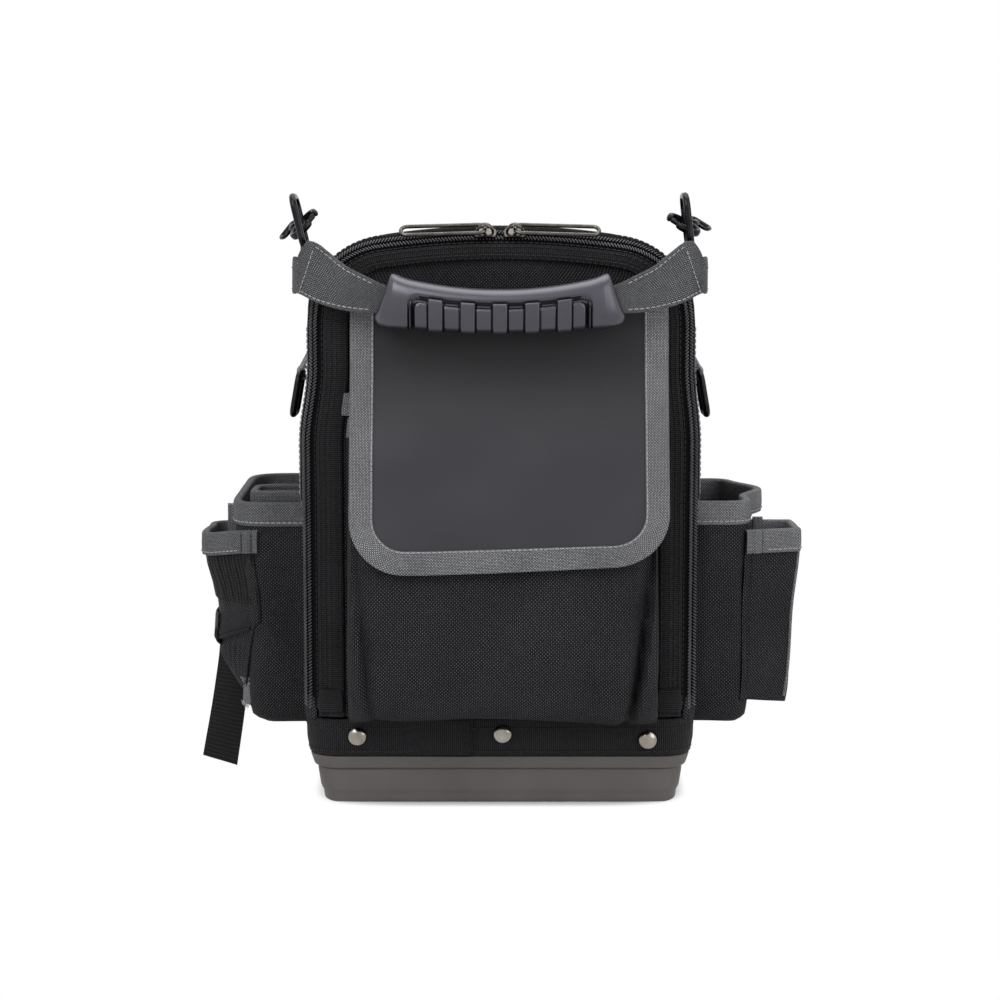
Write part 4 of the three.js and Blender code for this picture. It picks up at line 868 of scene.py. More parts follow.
# Half a rounded rectangle on a wall: up one side, round, along the front, round, and back. Rows of sizes.
def bulge(a0, a1, depth, radius, sideCols=12, turnCols=9, faceCols=46):
    a0, a1, depth, radius = (np.asarray(x, float)[:, None] for x in (a0, a1, depth, radius))
    radius = np.minimum(np.minimum(radius, depth), (a1 - a0) / 2)
    side = np.linspace(0, 1, sideCols, endpoint=False)
    turn = np.linspace(0, 1, turnCols, endpoint=False) * pi / 2
    face = np.linspace(0, 1, faceCols, endpoint=False)
    back = np.linspace(0, 1, sideCols + 1)
    a = [
        a0 + 0 * side, a0 + radius * (1 - np.cos(turn)), a0 + radius + (a1 - a0 - 2 * radius) * face,
        a1 - radius * (1 - np.sin(turn)), a1 + 0 * back
    ]
    b = [
        (depth - radius) * side, depth - radius * (1 - np.sin(turn)), depth + 0 * face,
        depth - radius * (1 - np.cos(turn)), (depth - radius) * (1 - back)
    ]
    return np.concatenate(a, 1), np.concatenate(b, 1)


z = np.concatenate([np.full(5, pocket["z"][0]), np.linspace(pocket["z"][0], pocket["z"][-1], 78)])
tuck = np.concatenate([[0.12, 0.4, 0.7, 0.9, 0.98], np.ones(78)])
depth = through(pocket["z"], pocket["depth"], z) * tuck
drawn = through(pocket["z"], pocket["drawn"], z) + (1 - tuck) * 9
a, b = bulge(pocket["left"] + drawn, pocket["right"] - drawn, depth, np.minimum(depth * 0.5, 12), 14, 9, 74)
height = np.broadcast_to(z[:, None], a.shape).copy()
share = b / np.maximum(depth[:, None], 1e-6)
onFront = np.clip((share - 0.55) / 0.4, 0, 1)
low = np.exp(-(((height - 92) / 42) ** 2))
for ridge, inward, valley in zip(("ridgeRight", "ridgeLeft"), (-1, 1), pocket["valleys"]):
    line = np.interp(height, pocket["ridgeZ"], pocket[ridge])
    strength = valley * (0.4 + 0.6 * low) * onFront
    reach = (a - line) * inward - np.interp(height, [60, 140], [6.5, 4.5])
    b -= strength * np.exp(-((reach / np.where(reach < 0, 2.2, 4.2)) ** 2))
    b -= 1.2 * onFront * np.clip(-reach - 4, 0, 1) * low
onSide = np.sin(pi * np.clip(share, 0, 1)) * (1 - onFront) * np.clip((height - 56) / 20, 0, 1)
a -= np.sign(a) * pocket["pleat"] * onSide
cloth = np.stack([a, bag["doorFront"] - 0.3 - b, height], 2)
middleUp = (
    np.exp(-(((a + 8) / 52) ** 2))
    + 0.35 * np.exp(-(((a + 70) / 14) ** 2))
    - 0.3 * np.exp(-(((a - 66) / 10) ** 2))
)
cloth[..., 2] += (
    pocket["bottomRise"] * middleUp * np.exp(-np.maximum(height - pocket["z"][0], 0) / 9) * onFront
)
sag = pocket["uneven"] * unevenness(cloth * (1, 1, 0.6), 58, 21) * onFront * np.clip((height - 54) / 14, 0, 1)
cloth += gridNormals(cloth, (0, -1, 0)) * sag[..., None]
frontPocket = thicken(surface("frontPocket", cloth), pocket["wall"])
fit(frontPocket, ballisticNylon, "door", ["front_pocket"])
# The binding folded over its rim, and the seam above its tucked bottom
tape = softLoop(
    [(0.5, -11), (0.5, 0.6), (-2.3, 0.6), (-2.3, -11), (-1.9, -11), (-1.9, 0.1), (0.1, 0.1), (0.1, -11)], 0.3,
    3
)
fit(
    surface("frontPocketBinding", alongLine(cloth[-1], tape), closed=True), greyWebbing, "door",
)
sew("threadDoor", cloth[6, 15:-15] + (0, -0.3, 1.2), (0, -1, 0.2), lift=0.2)

# A grey tab that peeps out beside the flap
tab = softLoop([(-92.6, -86.8), (-86, -87.4), (-86, -88.6), (-92.6, -88.2)], 0.5, 4)
tab = pillar(tab, [229.2, 229.4, 230.5, 241, 242.1, 242.3], [0.3, 0.9, 1, 1, 0.9, 0.3])
fit(surface("doorTab", tab, closed=True), greyWebbing, "door")
print("door ready")

# Flap: one cloth from its sewn root, over the fold and down over the pocket. Its front is the pocket's curve
# with room for cloth and binding, and both share one slow wave.
flap = dict(
    left=-85, right=95.4, bottom=142.3, top=298.4, corner=31, binding=13.4, tilt=6, front=-89.9,
    z=(53.4, 58.4, 70.4, 92.4, 140.4, 200.4, 227.4, 261.8, 268, 284, 299),
    depth=(17, 27, 34, 37, 34, 22.5, 15.5, 7.4, 7, 4.6, 0.4),
)


def flapFace(x, z):
    face = flap["front"] - through(flap["z"], flap["depth"], z)
    free = np.clip((flap["top"] - 22 - z) / 70, 0, 1)
    place = np.stack([x, np.zeros_like(x), z * 0.8], -1)
    return face - free * (0.7 + 0.9 * unevenness(place, 96, 5) + 0.35 * unevenness(place, 34, 6))


# The free edge hangs a little higher towards the right.
def flapTilt(x, z):
    fade = np.exp(-np.maximum(z - flap["bottom"], 0) / 45)
    return z + flap["tilt"] * np.clip((x - flap["left"] - 40) / 140, 0, 1) ** 1.2 * fade


def flapNormal(x, z):
    slopeZ = (flapFace(x, z + 1) - flapFace(x, z - 1)) / 2
    slopeX = (flapFace(x + 1, z) - flapFace(x - 1, z)) / 2
    return unit(np.stack([slopeX, -np.ones_like(x), slopeZ], -1))


def flapBlend(piece):
    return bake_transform(piece)


rise = 1 - (1 - np.linspace(1, 0, 96)) ** 1.25
z = flap["bottom"] + 1.2 + (flap["top"] - flap["bottom"] - 1.6) * rise
low = np.maximum(flap["bottom"] + flap["corner"] - z, 0)
cutIn = (flap["corner"] - 1) - np.sqrt(np.maximum((flap["corner"] - 1) ** 2 - low**2, 0)) + 1.2
x = (
    np.linspace(0, 1, 90)[None] * (flap["right"] - flap["left"] - 2 * cutIn[:, None])
    + flap["left"]
    + cutIn[:, None]
)
z = flapTilt(x, np.broadcast_to(z[:, None], x.shape))
panel = np.stack([x, flapFace(x, z), z], 2) - flapNormal(x, z) * 0.7
flapCloth = thicken(surface("flapCloth", panel), 1.5)
flapBlend(fit(flapCloth, coatedVinyl, None, ["flap_panel", "flap_root"]))

left, right, bottom, corner = flap["left"], flap["right"], flap["bottom"], flap["corner"]
turn = np.linspace(0, pi / 2, 18)[1:-1]
edge = np.concatenate([
    np.stack([np.full(46, left), np.linspace(flap["top"], bottom + corner, 46)], 1),
    np.stack([left + corner * (1 - np.cos(turn)), bottom + corner * (1 - np.sin(turn))], 1),
    np.stack([np.linspace(left + corner, right - corner, 44), np.full(44, bottom)], 1),
    np.stack([right - corner * (1 - np.sin(turn)), bottom + corner * (1 - np.cos(turn))], 1),
    np.stack([np.full(46, right), np.linspace(bottom + corner, flap["top"], 46)], 1),
])
along = unit(np.gradient(edge, axis=0))
outward = np.stack([along[:, 1], -along[:, 0]], 1)


# Carries a section over the flap's edge: in from the edge along the cloth, and out from its face.
def overEdge(section):
    section = np.asarray(section, float)
    x = edge[:, None, 0] + outward[:, None, 0] * section[:, 0]
    z = flapTilt(x, edge[:, None, 1] + outward[:, None, 1] * section[:, 0])
    grid = np.stack([x, flapFace(x, z), z], 2)
    return grid + flapNormal(x, z) * section[None, :, 1:]


width = flap["binding"]
section = softLoop(
    [(0.2, 0.3), (-width / 2, 0.55), (-width, 0.3), (-width, -0.6), (-1, -0.7), (-1, -2.3), (-width, -2.3),
     (-width, -2.9), (0.2, -2.9)],
    0.5, 4
)
flapBinding = surface("flapBinding", overEdge(section), closed=True)
flapBlend(fit(flapBinding, greyWebbing, None, ["flap_binding"]))
sew(
    "threadFlap", overEdge([(0.9 - width, 0.4)])[:, 0], flapNormal(edge[:, 0], edge[:, 1]), pitch=3.0,
    lift=0.05
)
flapThread = stitchUp("threadFlap", greyThread, None)
flapBlend(flapThread)
print("flap ready")

# Handle: one webbing through a moulded grip, tacked at the pivots on both sides. A station is (how far to
# the side, how far ahead of the pivot, lower edge, upper edge).
handle = dict(
    pivotY=-60, pivotZ=310.8, thickness=2.3, endRadius=10, endDrop=1.5, strapX=118.5, gripHalf=70,
    gripDepth=12, power=0.7,
    side=[(0, 9.5, -12.5, 9), (0.5, 19, -11.5, 5), (3.8, 28, -11.5, 7), (7.2, 32.5, -13, 13.5),
          (11.5, 36.5, -15, 18), (16, 40, -17, 16.5), (21.5, 42.8, -18.6, 12.5), (32.5, 47.5, -21, 4),
          (42.5, 50.5, -22, -1)],
    middle=[(64, 53, -22.5, -6.5), (44, 56.5, -27, -11), (22, 58.6, -29, -13), (0, 59.3, -29.5, -13.5)],
    foldTop=(103.2, 16), foldBottom=(112.8, -13), foldStep=0.9,
    gripForward=(59.3, 52.2), gripLow=(-33.8, -29.8), gripHigh=(-8.5, 2), corner=7.5,
    ribs=11, fieldHalf=49, outlineHalf=51.4, groove=1.5, proud=0.8, sunk=0.6, recess=2.6, slant=8.5,
)
radius, drop = handle["endRadius"], handle["endDrop"]
ends = [
    (handle["strapX"], -radius * cos(a), -radius * sin(a) - drop, radius * sin(a) - drop)
    for a in np.radians([9, 20, 38, 62, 90])
]
half = np.array(ends + [(handle["strapX"] - s, *rest) for s, *rest in handle["side"]] + handle["middle"])
stations = np.concatenate([half[:-1] * (-1, 1, 1, 1), half[::-1]])
run = np.concatenate([[0], np.cumsum(np.linalg.norm(np.diff(stations[:, :2], axis=0), axis=1))])
at = np.linspace(0, run[-1], 300)
path = np.stack([through(run, stations[:, k], at) for k in range(4)], 1)
points = np.stack([path[:, 0], handle["pivotY"] - path[:, 1], 0 * at + handle["pivotZ"]], 1)
outs = sideways(points)
t = handle["thickness"] / 2
loops = np.stack(
    [softLoop([(-t, low), (t, low), (t, high), (-t, high)], 0.9, 4) for low, high in path[:, 2:]]
)
curl = 0.5 * unevenness(points, 60, 31)[:, None]
loops[..., 0] += curl * ((loops[..., 1] - loops[..., 1].mean(1, keepdims=True)) / 15)
# Past a slanting line each end is doubled, so the outer face steps out there
(topX, topZ), (bottomX, bottomZ) = handle["foldTop"], handle["foldBottom"]
foldX = topX + (topZ - loops[..., 1]) / (topZ - bottomZ) * (bottomX - topX)
doubled = np.clip((abs(points[:, None, 0]) - foldX) / 1.2, 0, 1) * np.clip((path[:, None, 1] - 20) / 6, 0, 1)
loops[..., 0] += np.where(loops[..., 0] > 0, handle["foldStep"] * doubled, 0)
strap = surface("handleStrap", alongLine(points, loops), closed=True)
fit(strap, greyStrap, "handle", ["handle_strap"])
for side in (-1, 1):
    inside = (side * path[:, 0] > 70) & (path[:, 1] > 16)
    for k, shift in ((2, 2.2), (3, -2.2)):
        line = points[inside] + outs[inside] * (t + 0.1)
        line[:, 2] += path[inside, k] + shift
        sew("threadHandle", line, outs[inside])
    fold = (side * path[:, 0] > topX) & (side * path[:, 0] < bottomX) & (path[:, 1] > 24)
    height = np.interp(side * path[fold, 0], [topX, bottomX], [topZ - 1, bottomZ + 1])
    line = points[fold] + outs[fold] * (t + 0.7)
    line[:, 2] += height
    upwards = np.argsort(height)
    sew("threadHandle", line[upwards], outs[fold][upwards], pitch=3.0)
    # A box with its diagonals, round the pivot
    box = np.array([(-1, -1), (-1, 1), (1, 1), (-1, -1), (1, -1), (-1, 1), (1, 1), (1, -1)]) * 6.075
    boxY, boxZ = handle["pivotY"] + box[:, 0], handle["pivotZ"] + box[:, 1]
    line = np.stack([np.full(8, side * (handle["strapX"] + t + 0.1)), boxY, boxZ], 1)
    for k in range(7):
        sew("threadHandle", line[k : k + 2], (side, 0, 0))

# A wave of sine or cosine with flatter tops, for a power under 1.
def squaredOff(wave, power):
    return np.sign(wave) * abs(wave) ** power


# The grip: a soft D section that droops in the middle. Its front has a field sunk behind a rounded groove,
# where tall and short blocks take turns.
gripEnd = np.array([66, 67.4, 68.6, 69.4, 69.85, 70])
x = np.concatenate([-gripEnd[::-1], np.linspace(-65.5, 65.5, 330), gripEnd])
shrink = np.interp(abs(x), [60, 63, 66, 67.4, 68.6, 69.4, 69.85, 70], [0, 0.25, 0.9, 1.5, 2.3, 3.3, 4.6, 6])
turn = np.linspace(0, 2 * pi, 132, endpoint=False)
t = (x / handle["gripHalf"]) ** 2
middleY, low, high = (
    handle[way] + sign * (handle[key][0] + (handle[key][1] - handle[key][0]) * t)
    for way, sign, key in (("pivotY", -1, "gripForward"), ("pivotZ", 1, "gripLow"), ("pivotZ", 1, "gripHigh"))
)
tall = (high - low) / 2
softUp, softForward = (squaredOff(wave, handle["power"]) for wave in (np.sin(turn), np.cos(turn)))
below = (0.5 - softUp) * tall[:, None]
aside = np.broadcast_to(handle["outlineHalf"] - abs(x)[:, None], below.shape)
corner = handle["corner"]
rounded = corner - np.hypot(corner - aside, corner - below)
inner = np.where((aside < corner) & (below < corner), rounded, np.minimum(aside, below))
front = smooth(-0.45, -0.2, np.cos(turn))
pitch = 2 * handle["fieldHalf"] / handle["ribs"]
count = (x + handle["fieldHalf"]) / pitch
edge = np.minimum(count % 1, 1 - count % 1) * pitch
inField = (abs(x) < handle["fieldHalf"]).astype(float)
isTall = (np.floor(count) % 2 == 1) & (inField > 0)
level = np.where(isTall, -handle["proud"], handle["sunk"]) * smooth(0.25, 0.8, edge) * inField
between = handle["groove"] * np.exp(-((edge / 0.42) ** 2)) * (abs(x) < handle["fieldHalf"] + 1)
cut = (level + between)[:, None] * smooth(1.3, 2.0, inner)
recess = smooth(1.2, 1.7, inner) * (1 - smooth(3.4, 4.4, inner))
cut += handle["recess"] * (~isTall & (inField > 0))[:, None] * recess
cut += 1.7 * np.exp(-(((inner - 0.75) / 0.55) ** 2))
out = -shrink[:, None] - cut * front
# The ends are cut at a slant: the top is drawn in towards the middle
drawnIn = handle["slant"] * np.clip((abs(x) - 50) / 20, 0, 1)[:, None] ** 1.4 * (1 + softUp) / 2
grip = np.stack([
    x[:, None] - np.sign(x)[:, None] * drawnIn,
    middleY[:, None] - (handle["gripDepth"] + out) * softForward,
    ((low + high) / 2)[:, None] + (tall[:, None] + out) * softUp,
], 2)
gripPiece = surface("handleGrip", grip, closed=True, sharp=80)
# How deep each point is sunk, stored for the painted shade in the grip's recesses
sunk = np.clip((cut * front - 0.7) / 1.1, 0, 0.9).astype(np.float32)
gripPiece.data.attributes.new("sunk", "FLOAT", "POINT").data.foreach_set("value", sunk.ravel())
fit(gripPiece, gripRubber, "handle", ["handle_grip"])
print("handle ready")

# Corners: the webbing sewn up each side ends in a sleeve round a wire ring, and a snap hook hangs on it


# The turn by some degrees about an axis, as a matrix.
def turned(axis, degrees):
    c, s = cos(radians(degrees)), sin(radians(degrees))
    rows = {
        "x": [[1, 0, 0], [0, c, -s], [0, s, c]],
        "y": [[c, 0, s], [0, 1, 0], [-s, 0, c]],
        "z": [[c, -s, 0], [s, c, 0], [0, 0, 1]],
    }
    return np.array(rows[axis])


# Turns points about the origin and moves them to their seat.
def placed(points, turn, seat):
    return np.asarray(points) @ turn.T + seat


# A round-cornered loop in the plane of y and z that stands on the origin.
def wireLoop(halfWidth, height, r, steps=10):
    w = halfWidth - r
    rows = []
    for y, z, start in ((w, r, -90), (w, height - r, 0), (-w, height - r, 90), (-w, r, 180)):
        angles = np.radians(np.linspace(start, start + 90, steps))
        rows.append(np.stack([0 * angles, y + r * np.cos(angles), z + r * np.sin(angles)], 1))
    return evenly(np.concatenate(rows + [rows[0][:1]]), 1.0)[:-1]


# Webbing rolled round a wire: an arc in the plane of x and z.
def rolled(radius, start, end, count):
    angles = np.radians(np.linspace(start, end, count))
    return np.stack([radius * np.cos(angles), 0 * angles, radius * np.sin(angles)], 1)


hook = dict(
    middle=-2.9, halfWide=6.8, halfTall=9.75, section=(1.45, 2.2), nose=-1.2, heel=-7.2, swivelY=1, turn=120,
    tilt=-36,
    gate=[(-7.5, -6.6, 0), (-7.5, -5.7, 0), (-7.55, -4, 0), (-7.9, -2.4, 0), (-7.6, -1.0, 0), (-6.7, 0.3, 0)],
    gateSize=np.array([0.7, 1.0, 0.95, 0.9, 0.75, 0.5]),
    barrel=[(1.5, 7.2), (1.5, 6.9), (2.6, 6.6), (2.9, 7.0), (2.9, 11.5), (2.6, 12), (1.6, 12), (1.5, 11.7)],
    pin=[(0.02, 8.7), (1.75, 8.75), (1.75, 10), (1.1, 10.1), (1.1, 14.4), (0.02, 14.5)],
)
# A strip's places: its inner face, the plane of its middle, and the height of the ring's lower bar. It lies
# on the shoulder as far as the handle hides it, then runs out to the ring.
anchor = dict(
    inner=115.85, y=-60, ringZ=324.8, roll=3.35, z=(280, 290, 297, 302, 312, 318.6),
    x=(115.85, 115, 113.1, 112.7, 115, 115.85),
)
sideRing = dict(x=119.9, y=-20, z=249.8, roll=3.35, lean=190)
slider = dict(swing=1.6, lean=41, centreZ=26.8, y=-77.5, radius=305, pullerLift=5.3)
sliderOutline = softLoop(
    [(-6.5, -2.2), (-3.6, -3.8), (1.5, -3.5), (5.4, -3.8), (6.5, -2.6),
     (6.5, 2.6), (5.4, 3.8), (1.5, 3.5), (-3.6, 3.8), (-6.5, 2.2)], 1.6, 4
)
sliderLevels = (0.3, 0.45, 0.9, 1.9, 2.35, 2.5), (0.9, 0.98, 1, 1, 0.95, 0.8)
seats = {"left": (-1, -112.9, 13), "right": (1, 110.4, 7)}
spin = np.linspace(0, 2 * pi, 20, endpoint=False)
upY = (0.0, 1.0, 0.0)
for label, (side, seatX, lean) in seats.items():
    stand = turned("y", -lean)
    seat = np.array([seatX, anchor["y"], anchor["ringZ"]])
    wire = placed(wireLoop(12, 30, 7), stand, seat)
    ring = surface(
        "cornerRing" + label.title(), tubeGrid(wire, 2, 16, stand[:, 0], looped=True), closed=True,
        looped=True
    )
    fit(ring, blackPlate, "ring_" + label, ["corner_ring_" + label])
    clip = stand @ turned("z", -side * hook["turn"]) @ turned("x", hook["tilt"]) @ np.diag([-side, 1, 1])
    origin = seat + stand @ np.array([0, 12, 13.5])
    name = label.title()
    rx, ry = hook["halfWide"], hook["halfTall"]
    first, last = pi - asin(hook["nose"] / ry), pi - asin(hook["heel"] / ry) - 2 * pi
    angle = np.linspace(first, last, 90)
    line = np.stack([hook["middle"] + rx * np.cos(angle), ry * np.sin(angle), 0 * angle], 1)
    thin = np.interp(abs(np.linspace(-1, 1, 90)), [0, 0.9, 0.97, 1], [1, 1, 0.9, 0.55])
    oval = np.stack([squaredOff(np.cos(spin), 0.8), squaredOff(np.sin(spin), 0.8)], 1) * hook["section"]
    bow = placed(alongLine(line, oval * thin[:, None, None]), clip, origin)
    shape = surface("snapHook" + name, bow, closed=True)
    neck = softLoop([(-2.9, -1.75), (2.9, -1.75), (2.9, 1.75), (-2.9, 1.75)], 1, 4)
    rings = [
        np.stack([np.full(len(neck), x), hook["swivelY"] + neck[:, 0] * wide, neck[:, 1]], 1)
        for x, wide in ((2.4, 1.15), (4, 1), (6, 0.95), (7.6, 0.9))
    ]
    neckPart = surface("hookNeck" + name, placed(rings, clip, origin), closed=True)
    barrel = placed(turnedGrid(hook["barrel"], (0, hook["swivelY"], 0), (1, 0, 0), 24), clip, origin)
    barrel = surface("hookBarrel" + name, barrel, closed=True, sharp=40)
    fit(joined([shape, neckPart, barrel]), blackPlate, "hook_" + label, ["snap_hook_" + label])

    flat = np.stack([np.cos(spin) * 1.15, np.sin(spin) * 1.6], 1)
    gate = alongLine(np.array(hook["gate"]), flat * hook["gateSize"][:, None, None])
    gate = surface("hookGate" + name, placed(gate, clip, origin), closed=True)
    fit(gate, blackPlate, "gate_" + label, ["hook_gate_" + label])

    eyeLine = wireLoop(6.4, 7.4, 2.4, 7)[:, [2, 1, 0]] + (14, 1, 0)
    eye = placed(tubeGrid(eyeLine, 1.2, 12, (0, 0, 1), looped=True), clip, origin)
    eye = surface("swivelEye" + name, eye, closed=True, looped=True)
    pin = placed(turnedGrid(hook["pin"], (0, hook["swivelY"], 0), (1, 0, 0), 20), clip, origin)
    pin = surface("swivelPin" + name, pin, closed=True, sharp=40)
    fit(joined([eye, pin]), blackPlate, "swivel_" + label, ["hook_swivel_" + label])

    # The webbing: a strip up the side, narrowing into the sleeve that is rolled round the ring's lower bar
    z = np.concatenate([[177.9, 178.2, 179], np.linspace(183, 311, 33), [315, 318.6, 319.6]])
    halfY = np.interp(z, [177.9, 178.2, 315, 318.6, 319.6], [12.2, 12.5, 12.5, 11.5, 4.4])
    strip = softLoop([(0, -1), (1.35, -1), (1.35, 1), (0, 1)], 0.5, 4)
    face = np.interp(z, anchor["z"], anchor["x"])
    x = face[:, None] + strip[:, 0]
    y = -56.5 - 3.5 * (z[:, None] > 319) + strip[:, 1] * halfY[:, None]
    grid = np.stack([side * x, y, np.broadcast_to(z[:, None], x.shape)], 2)
    webbing = surface("anchorStrip" + name, grid, closed=True)
    roll = rolled(anchor["roll"], -95, 215, 34) * (side, 1, 1) + seat
    outer = anchor["inner"] + 0.7
    neckX = np.array([outer, outer, abs(seatX) + (1.2 if side < 0 else 3.2)])
    neckLine = np.stack([side * neckX, np.full(3, anchor["y"]), [316.5, 319.5, 321.6]], 1)
    sleeveLine = evenly(np.concatenate([neckLine, roll]), 0.8)
    band = softLoop([(-0.7, -4), (0.7, -4), (0.7, 4), (-0.7, 4)], 0.4, 3)
    sleeve = surface("anchorSleeve" + name, alongLine(sleeveLine, band, upY), closed=True)
    fit(joined([webbing, sleeve]), greyStrap, "body", ["handle_anchor_" + label])
    for y in (-66.5, -46.5):
        sew("threadBodyLight", [(side * 117.3, y, 181), (side * 117.3, y, 281)], (side, 0, 0), lift=0.1)

    # Side ring on its tab
    hung = np.diag([-side, 1, 1]) @ turned("y", sideRing["lean"])
    seat = np.array([side * sideRing["x"], sideRing["y"], sideRing["z"]])
    wire = placed(wireLoop(14, 25, 6), hung, seat)
    ring = surface(
        "sideRing" + name, tubeGrid(wire, 2, 16, hung[:, 0], looped=True), closed=True, looped=True
    )
    fit(ring, blackPlate, "side_ring_" + label, ["side_ring_" + label])
    roll = rolled(sideRing["roll"], -178, 182, 30)[::-1] * (-side, 1, 1) + seat
    tabX = side * (sideRing["x"] - sideRing["roll"])
    tabLine = evenly(np.concatenate([[(tabX, sideRing["y"], 271.6), (tabX, sideRing["y"], 262)], roll]), 0.8)
    band = softLoop([(-0.68, -9), (0.68, -9), (0.68, 9), (-0.68, 9)], 0.4, 3)
    tab = surface("sideTab" + name, alongLine(tabLine, band, upY), closed=True)
    fit(tab, greyWebbing, "body", ["side_tab_" + label])
    for z in (259, 269):
        sew("threadBodyLight", [(side * 117.4, -27, z), (side * 117.4, -13, z)], (side, 0, 0), lift=0.1)

    # Slider and its long wire pull, on the crown
    swing = turned("y", side * slider["swing"])
    place = swing @ turned("x", slider["lean"]) @ np.diag([-side, 1, 1])
    seat = swing @ np.array([0, slider["y"], slider["radius"]]) + (0, 0, slider["centreZ"])
    plate = placed(pillar(sliderOutline, *sliderLevels, about=(0, 0)), place, seat)
    plate = surface("sliderPlate" + name, plate, closed=True)
    bend = np.linspace(0, pi, 24)
    bridge = np.stack([4.6 * np.cos(bend), 0 * bend, 2.2 + 6.2 * np.sin(bend)], 1)
    flat = np.stack([np.cos(spin) * 0.8, np.sin(spin) * 1.5], 1)
    bridge = placed(alongLine(bridge, flat, upY, -1), place, seat)
    bridge = surface("sliderBridge" + name, bridge, closed=True)
    fit(joined([plate, bridge]), steelWire, "slider_" + label, ["zip_slider_" + label])
    pull = wireLoop(24, 7.2, 3.4, 12)[:, [1, 2, 0]] - (24, 3.6, -slider["pullerLift"])
    pull = placed(tubeGrid(pull, 1.15, 14, (0, 0, 1), looped=True), place, seat)
    pull = surface("zipPuller" + name, pull, closed=True, looped=True)
    fit(pull, steelWire, "puller_" + label, ["zip_puller_" + label])
print("hardware ready")

# Side pockets


# Rounds the inner corners of open lines, rows x corners x 2, and spaces each row's points evenly.
def softLines(corners, radius, count):
    p = np.asarray(corners, float)
    before, after = p[:, :-2] - p[:, 1:-1], p[:, 2:] - p[:, 1:-1]
    radius = np.asarray(radius, float).reshape(-1, 1, 1)
    reach = [np.minimum(radius, 0.48 * np.linalg.norm(v, axis=-1, keepdims=True)) for v in (before, after)]
    start, end = p[:, 1:-1] + unit(before) * reach[0], p[:, 1:-1] + unit(after) * reach[1]
    t = np.linspace(0, 1, 9)[:, None]
    curve = (1 - t) ** 2 * start[:, :, None] + 2 * t * (1 - t) * p[:, 1:-1, None] + t * t * end[:, :, None]
    lines = np.concatenate([p[:, :1], curve.reshape(len(p), -1, 2), p[:, -1:]], 1)
    rows = []
    for line in lines:
        run = np.concatenate([[0], np.cumsum(np.linalg.norm(np.diff(line, axis=0), axis=1))])
        at = np.linspace(0, run[-1], count)
        rows.append(np.stack([np.interp(at, run, line[:, 0]), np.interp(at, run, line[:, 1])], 1))
    return np.stack(rows)


# A pocket's cloth from its levels (z, front, back, depth, corner): the bottom is tucked in, and the cloth
# between its seams is a little uneven. Points are (out from the side wall, along it, height).
def pocketGrid(levels, rows=64, cols=110, seed=1, uneven=1.0, bottom=0.0, backRise=0.0, splay=0.0):
    knots, *columns = np.array(levels, float).T
    z = np.concatenate([np.full(5, knots[0]), np.linspace(knots[0], knots[-1], rows)])
    tuck = np.concatenate([[0.1, 0.42, 0.72, 0.9, 0.98], np.ones(rows)])
    a0, a1, depth, radius = (through(knots, column, z) for column in columns)
    a0, a1, depth = a0 + (1 - tuck) * 6, a1 - (1 - tuck) * 6, depth * tuck
    corners = np.stack(
        [np.stack(pair, 1) for pair in ((a0, 0 * z), (a0, depth), (a1, depth), (a1, 0 * z))], 1
    )
    plan = softLines(corners, radius * 1.15, cols)
    grid = np.stack([plan[..., 1], plan[..., 0], np.broadcast_to(z[:, None], plan.shape[:2])], 2)
    seamed = np.clip((z - knots[0]) / 14, 0, 1) * np.clip((knots[-1] + 6 - z) / 30, 0.25, 1)
    free = np.clip(plan[..., 1] / 8, 0, 1) * seamed[:, None]
    unevenBy = uneven * free * unevenness(grid * (1, 1, 0.55), 44, seed)
    grid += gridNormals(grid, (1, 0, 0)) * unevenBy[..., None]
    grid[..., 2] += (
        backRise * np.clip((plan[..., 0] + 40) / 90, 0, 1) * np.clip((z - 100) / 74, 0, 1)[:, None]
    )
    # The mouth stands open: most in the middle of its front, and from the last part of its height on
    mouth = np.sin(pi * np.clip((plan[..., 0] + 30) / 84, 0, 1)) ** 2 * np.clip((z - 130) / 42, 0, 1)[:, None]
    grid[..., 0] += splay * mouth * np.clip(plan[..., 1] / 25, 0, 1)
    grid[..., 2] -= (
        bottom * (1 - np.clip((z - knots[0]) / 12, 0, 1))[:, None] * np.sin(pi * np.linspace(0, 1, cols)) ** 2
    )
    return grid


# Puts points of (out from the side wall, along it, height) on one side of the bag.
def onWall(grid, side):
    return (np.asarray(grid, float) + (115.8, 0, 0)) * (side, 1, 1)


# The section of a tape folded over a rim of a given thickness: (outwards, up), with a soft fold.
def foldedTape(wall, height=12.6, thickness=1.15):
    out, back = 0.25 + thickness, -wall - 0.25 - thickness
    over = [(out, -height), (out + 0.3, -height / 2), (out, 0.3), (out - 0.9, out), (back + 0.9, out)]
    under = [(back, 0.3), (back, -height), (back + thickness, -height), (back + thickness, -0.4)]
    return softLoop(over + under + [(0.25, -0.4), (0.25, -height)], 0.8, 4)


# A pocket with its cloth and its bound rim; stitches run round the tape near its lower edge.
def boundPocket(name, node, levels, side, wall, tape, **settings):
    grid = onWall(pocketGrid(levels, **settings), side)
    cloth = thicken(surface(name, grid, facing=(side, 0, 0)), wall)
    fit(cloth, ballisticNylon, "body", [node])
    rim = grid[-1] - (0, 0, 0.6)
    outs = sideways(rim, outward=side)
    binding = surface(name + "Binding", alongLine(rim, foldedTape(wall), outward=side), closed=True)
    fit(binding, tape, "body", [node + "_binding"])
    sew("threadBodyLight", rim + outs * 1.65 - (0, 0, 10.4), outs, pitch=3.3)


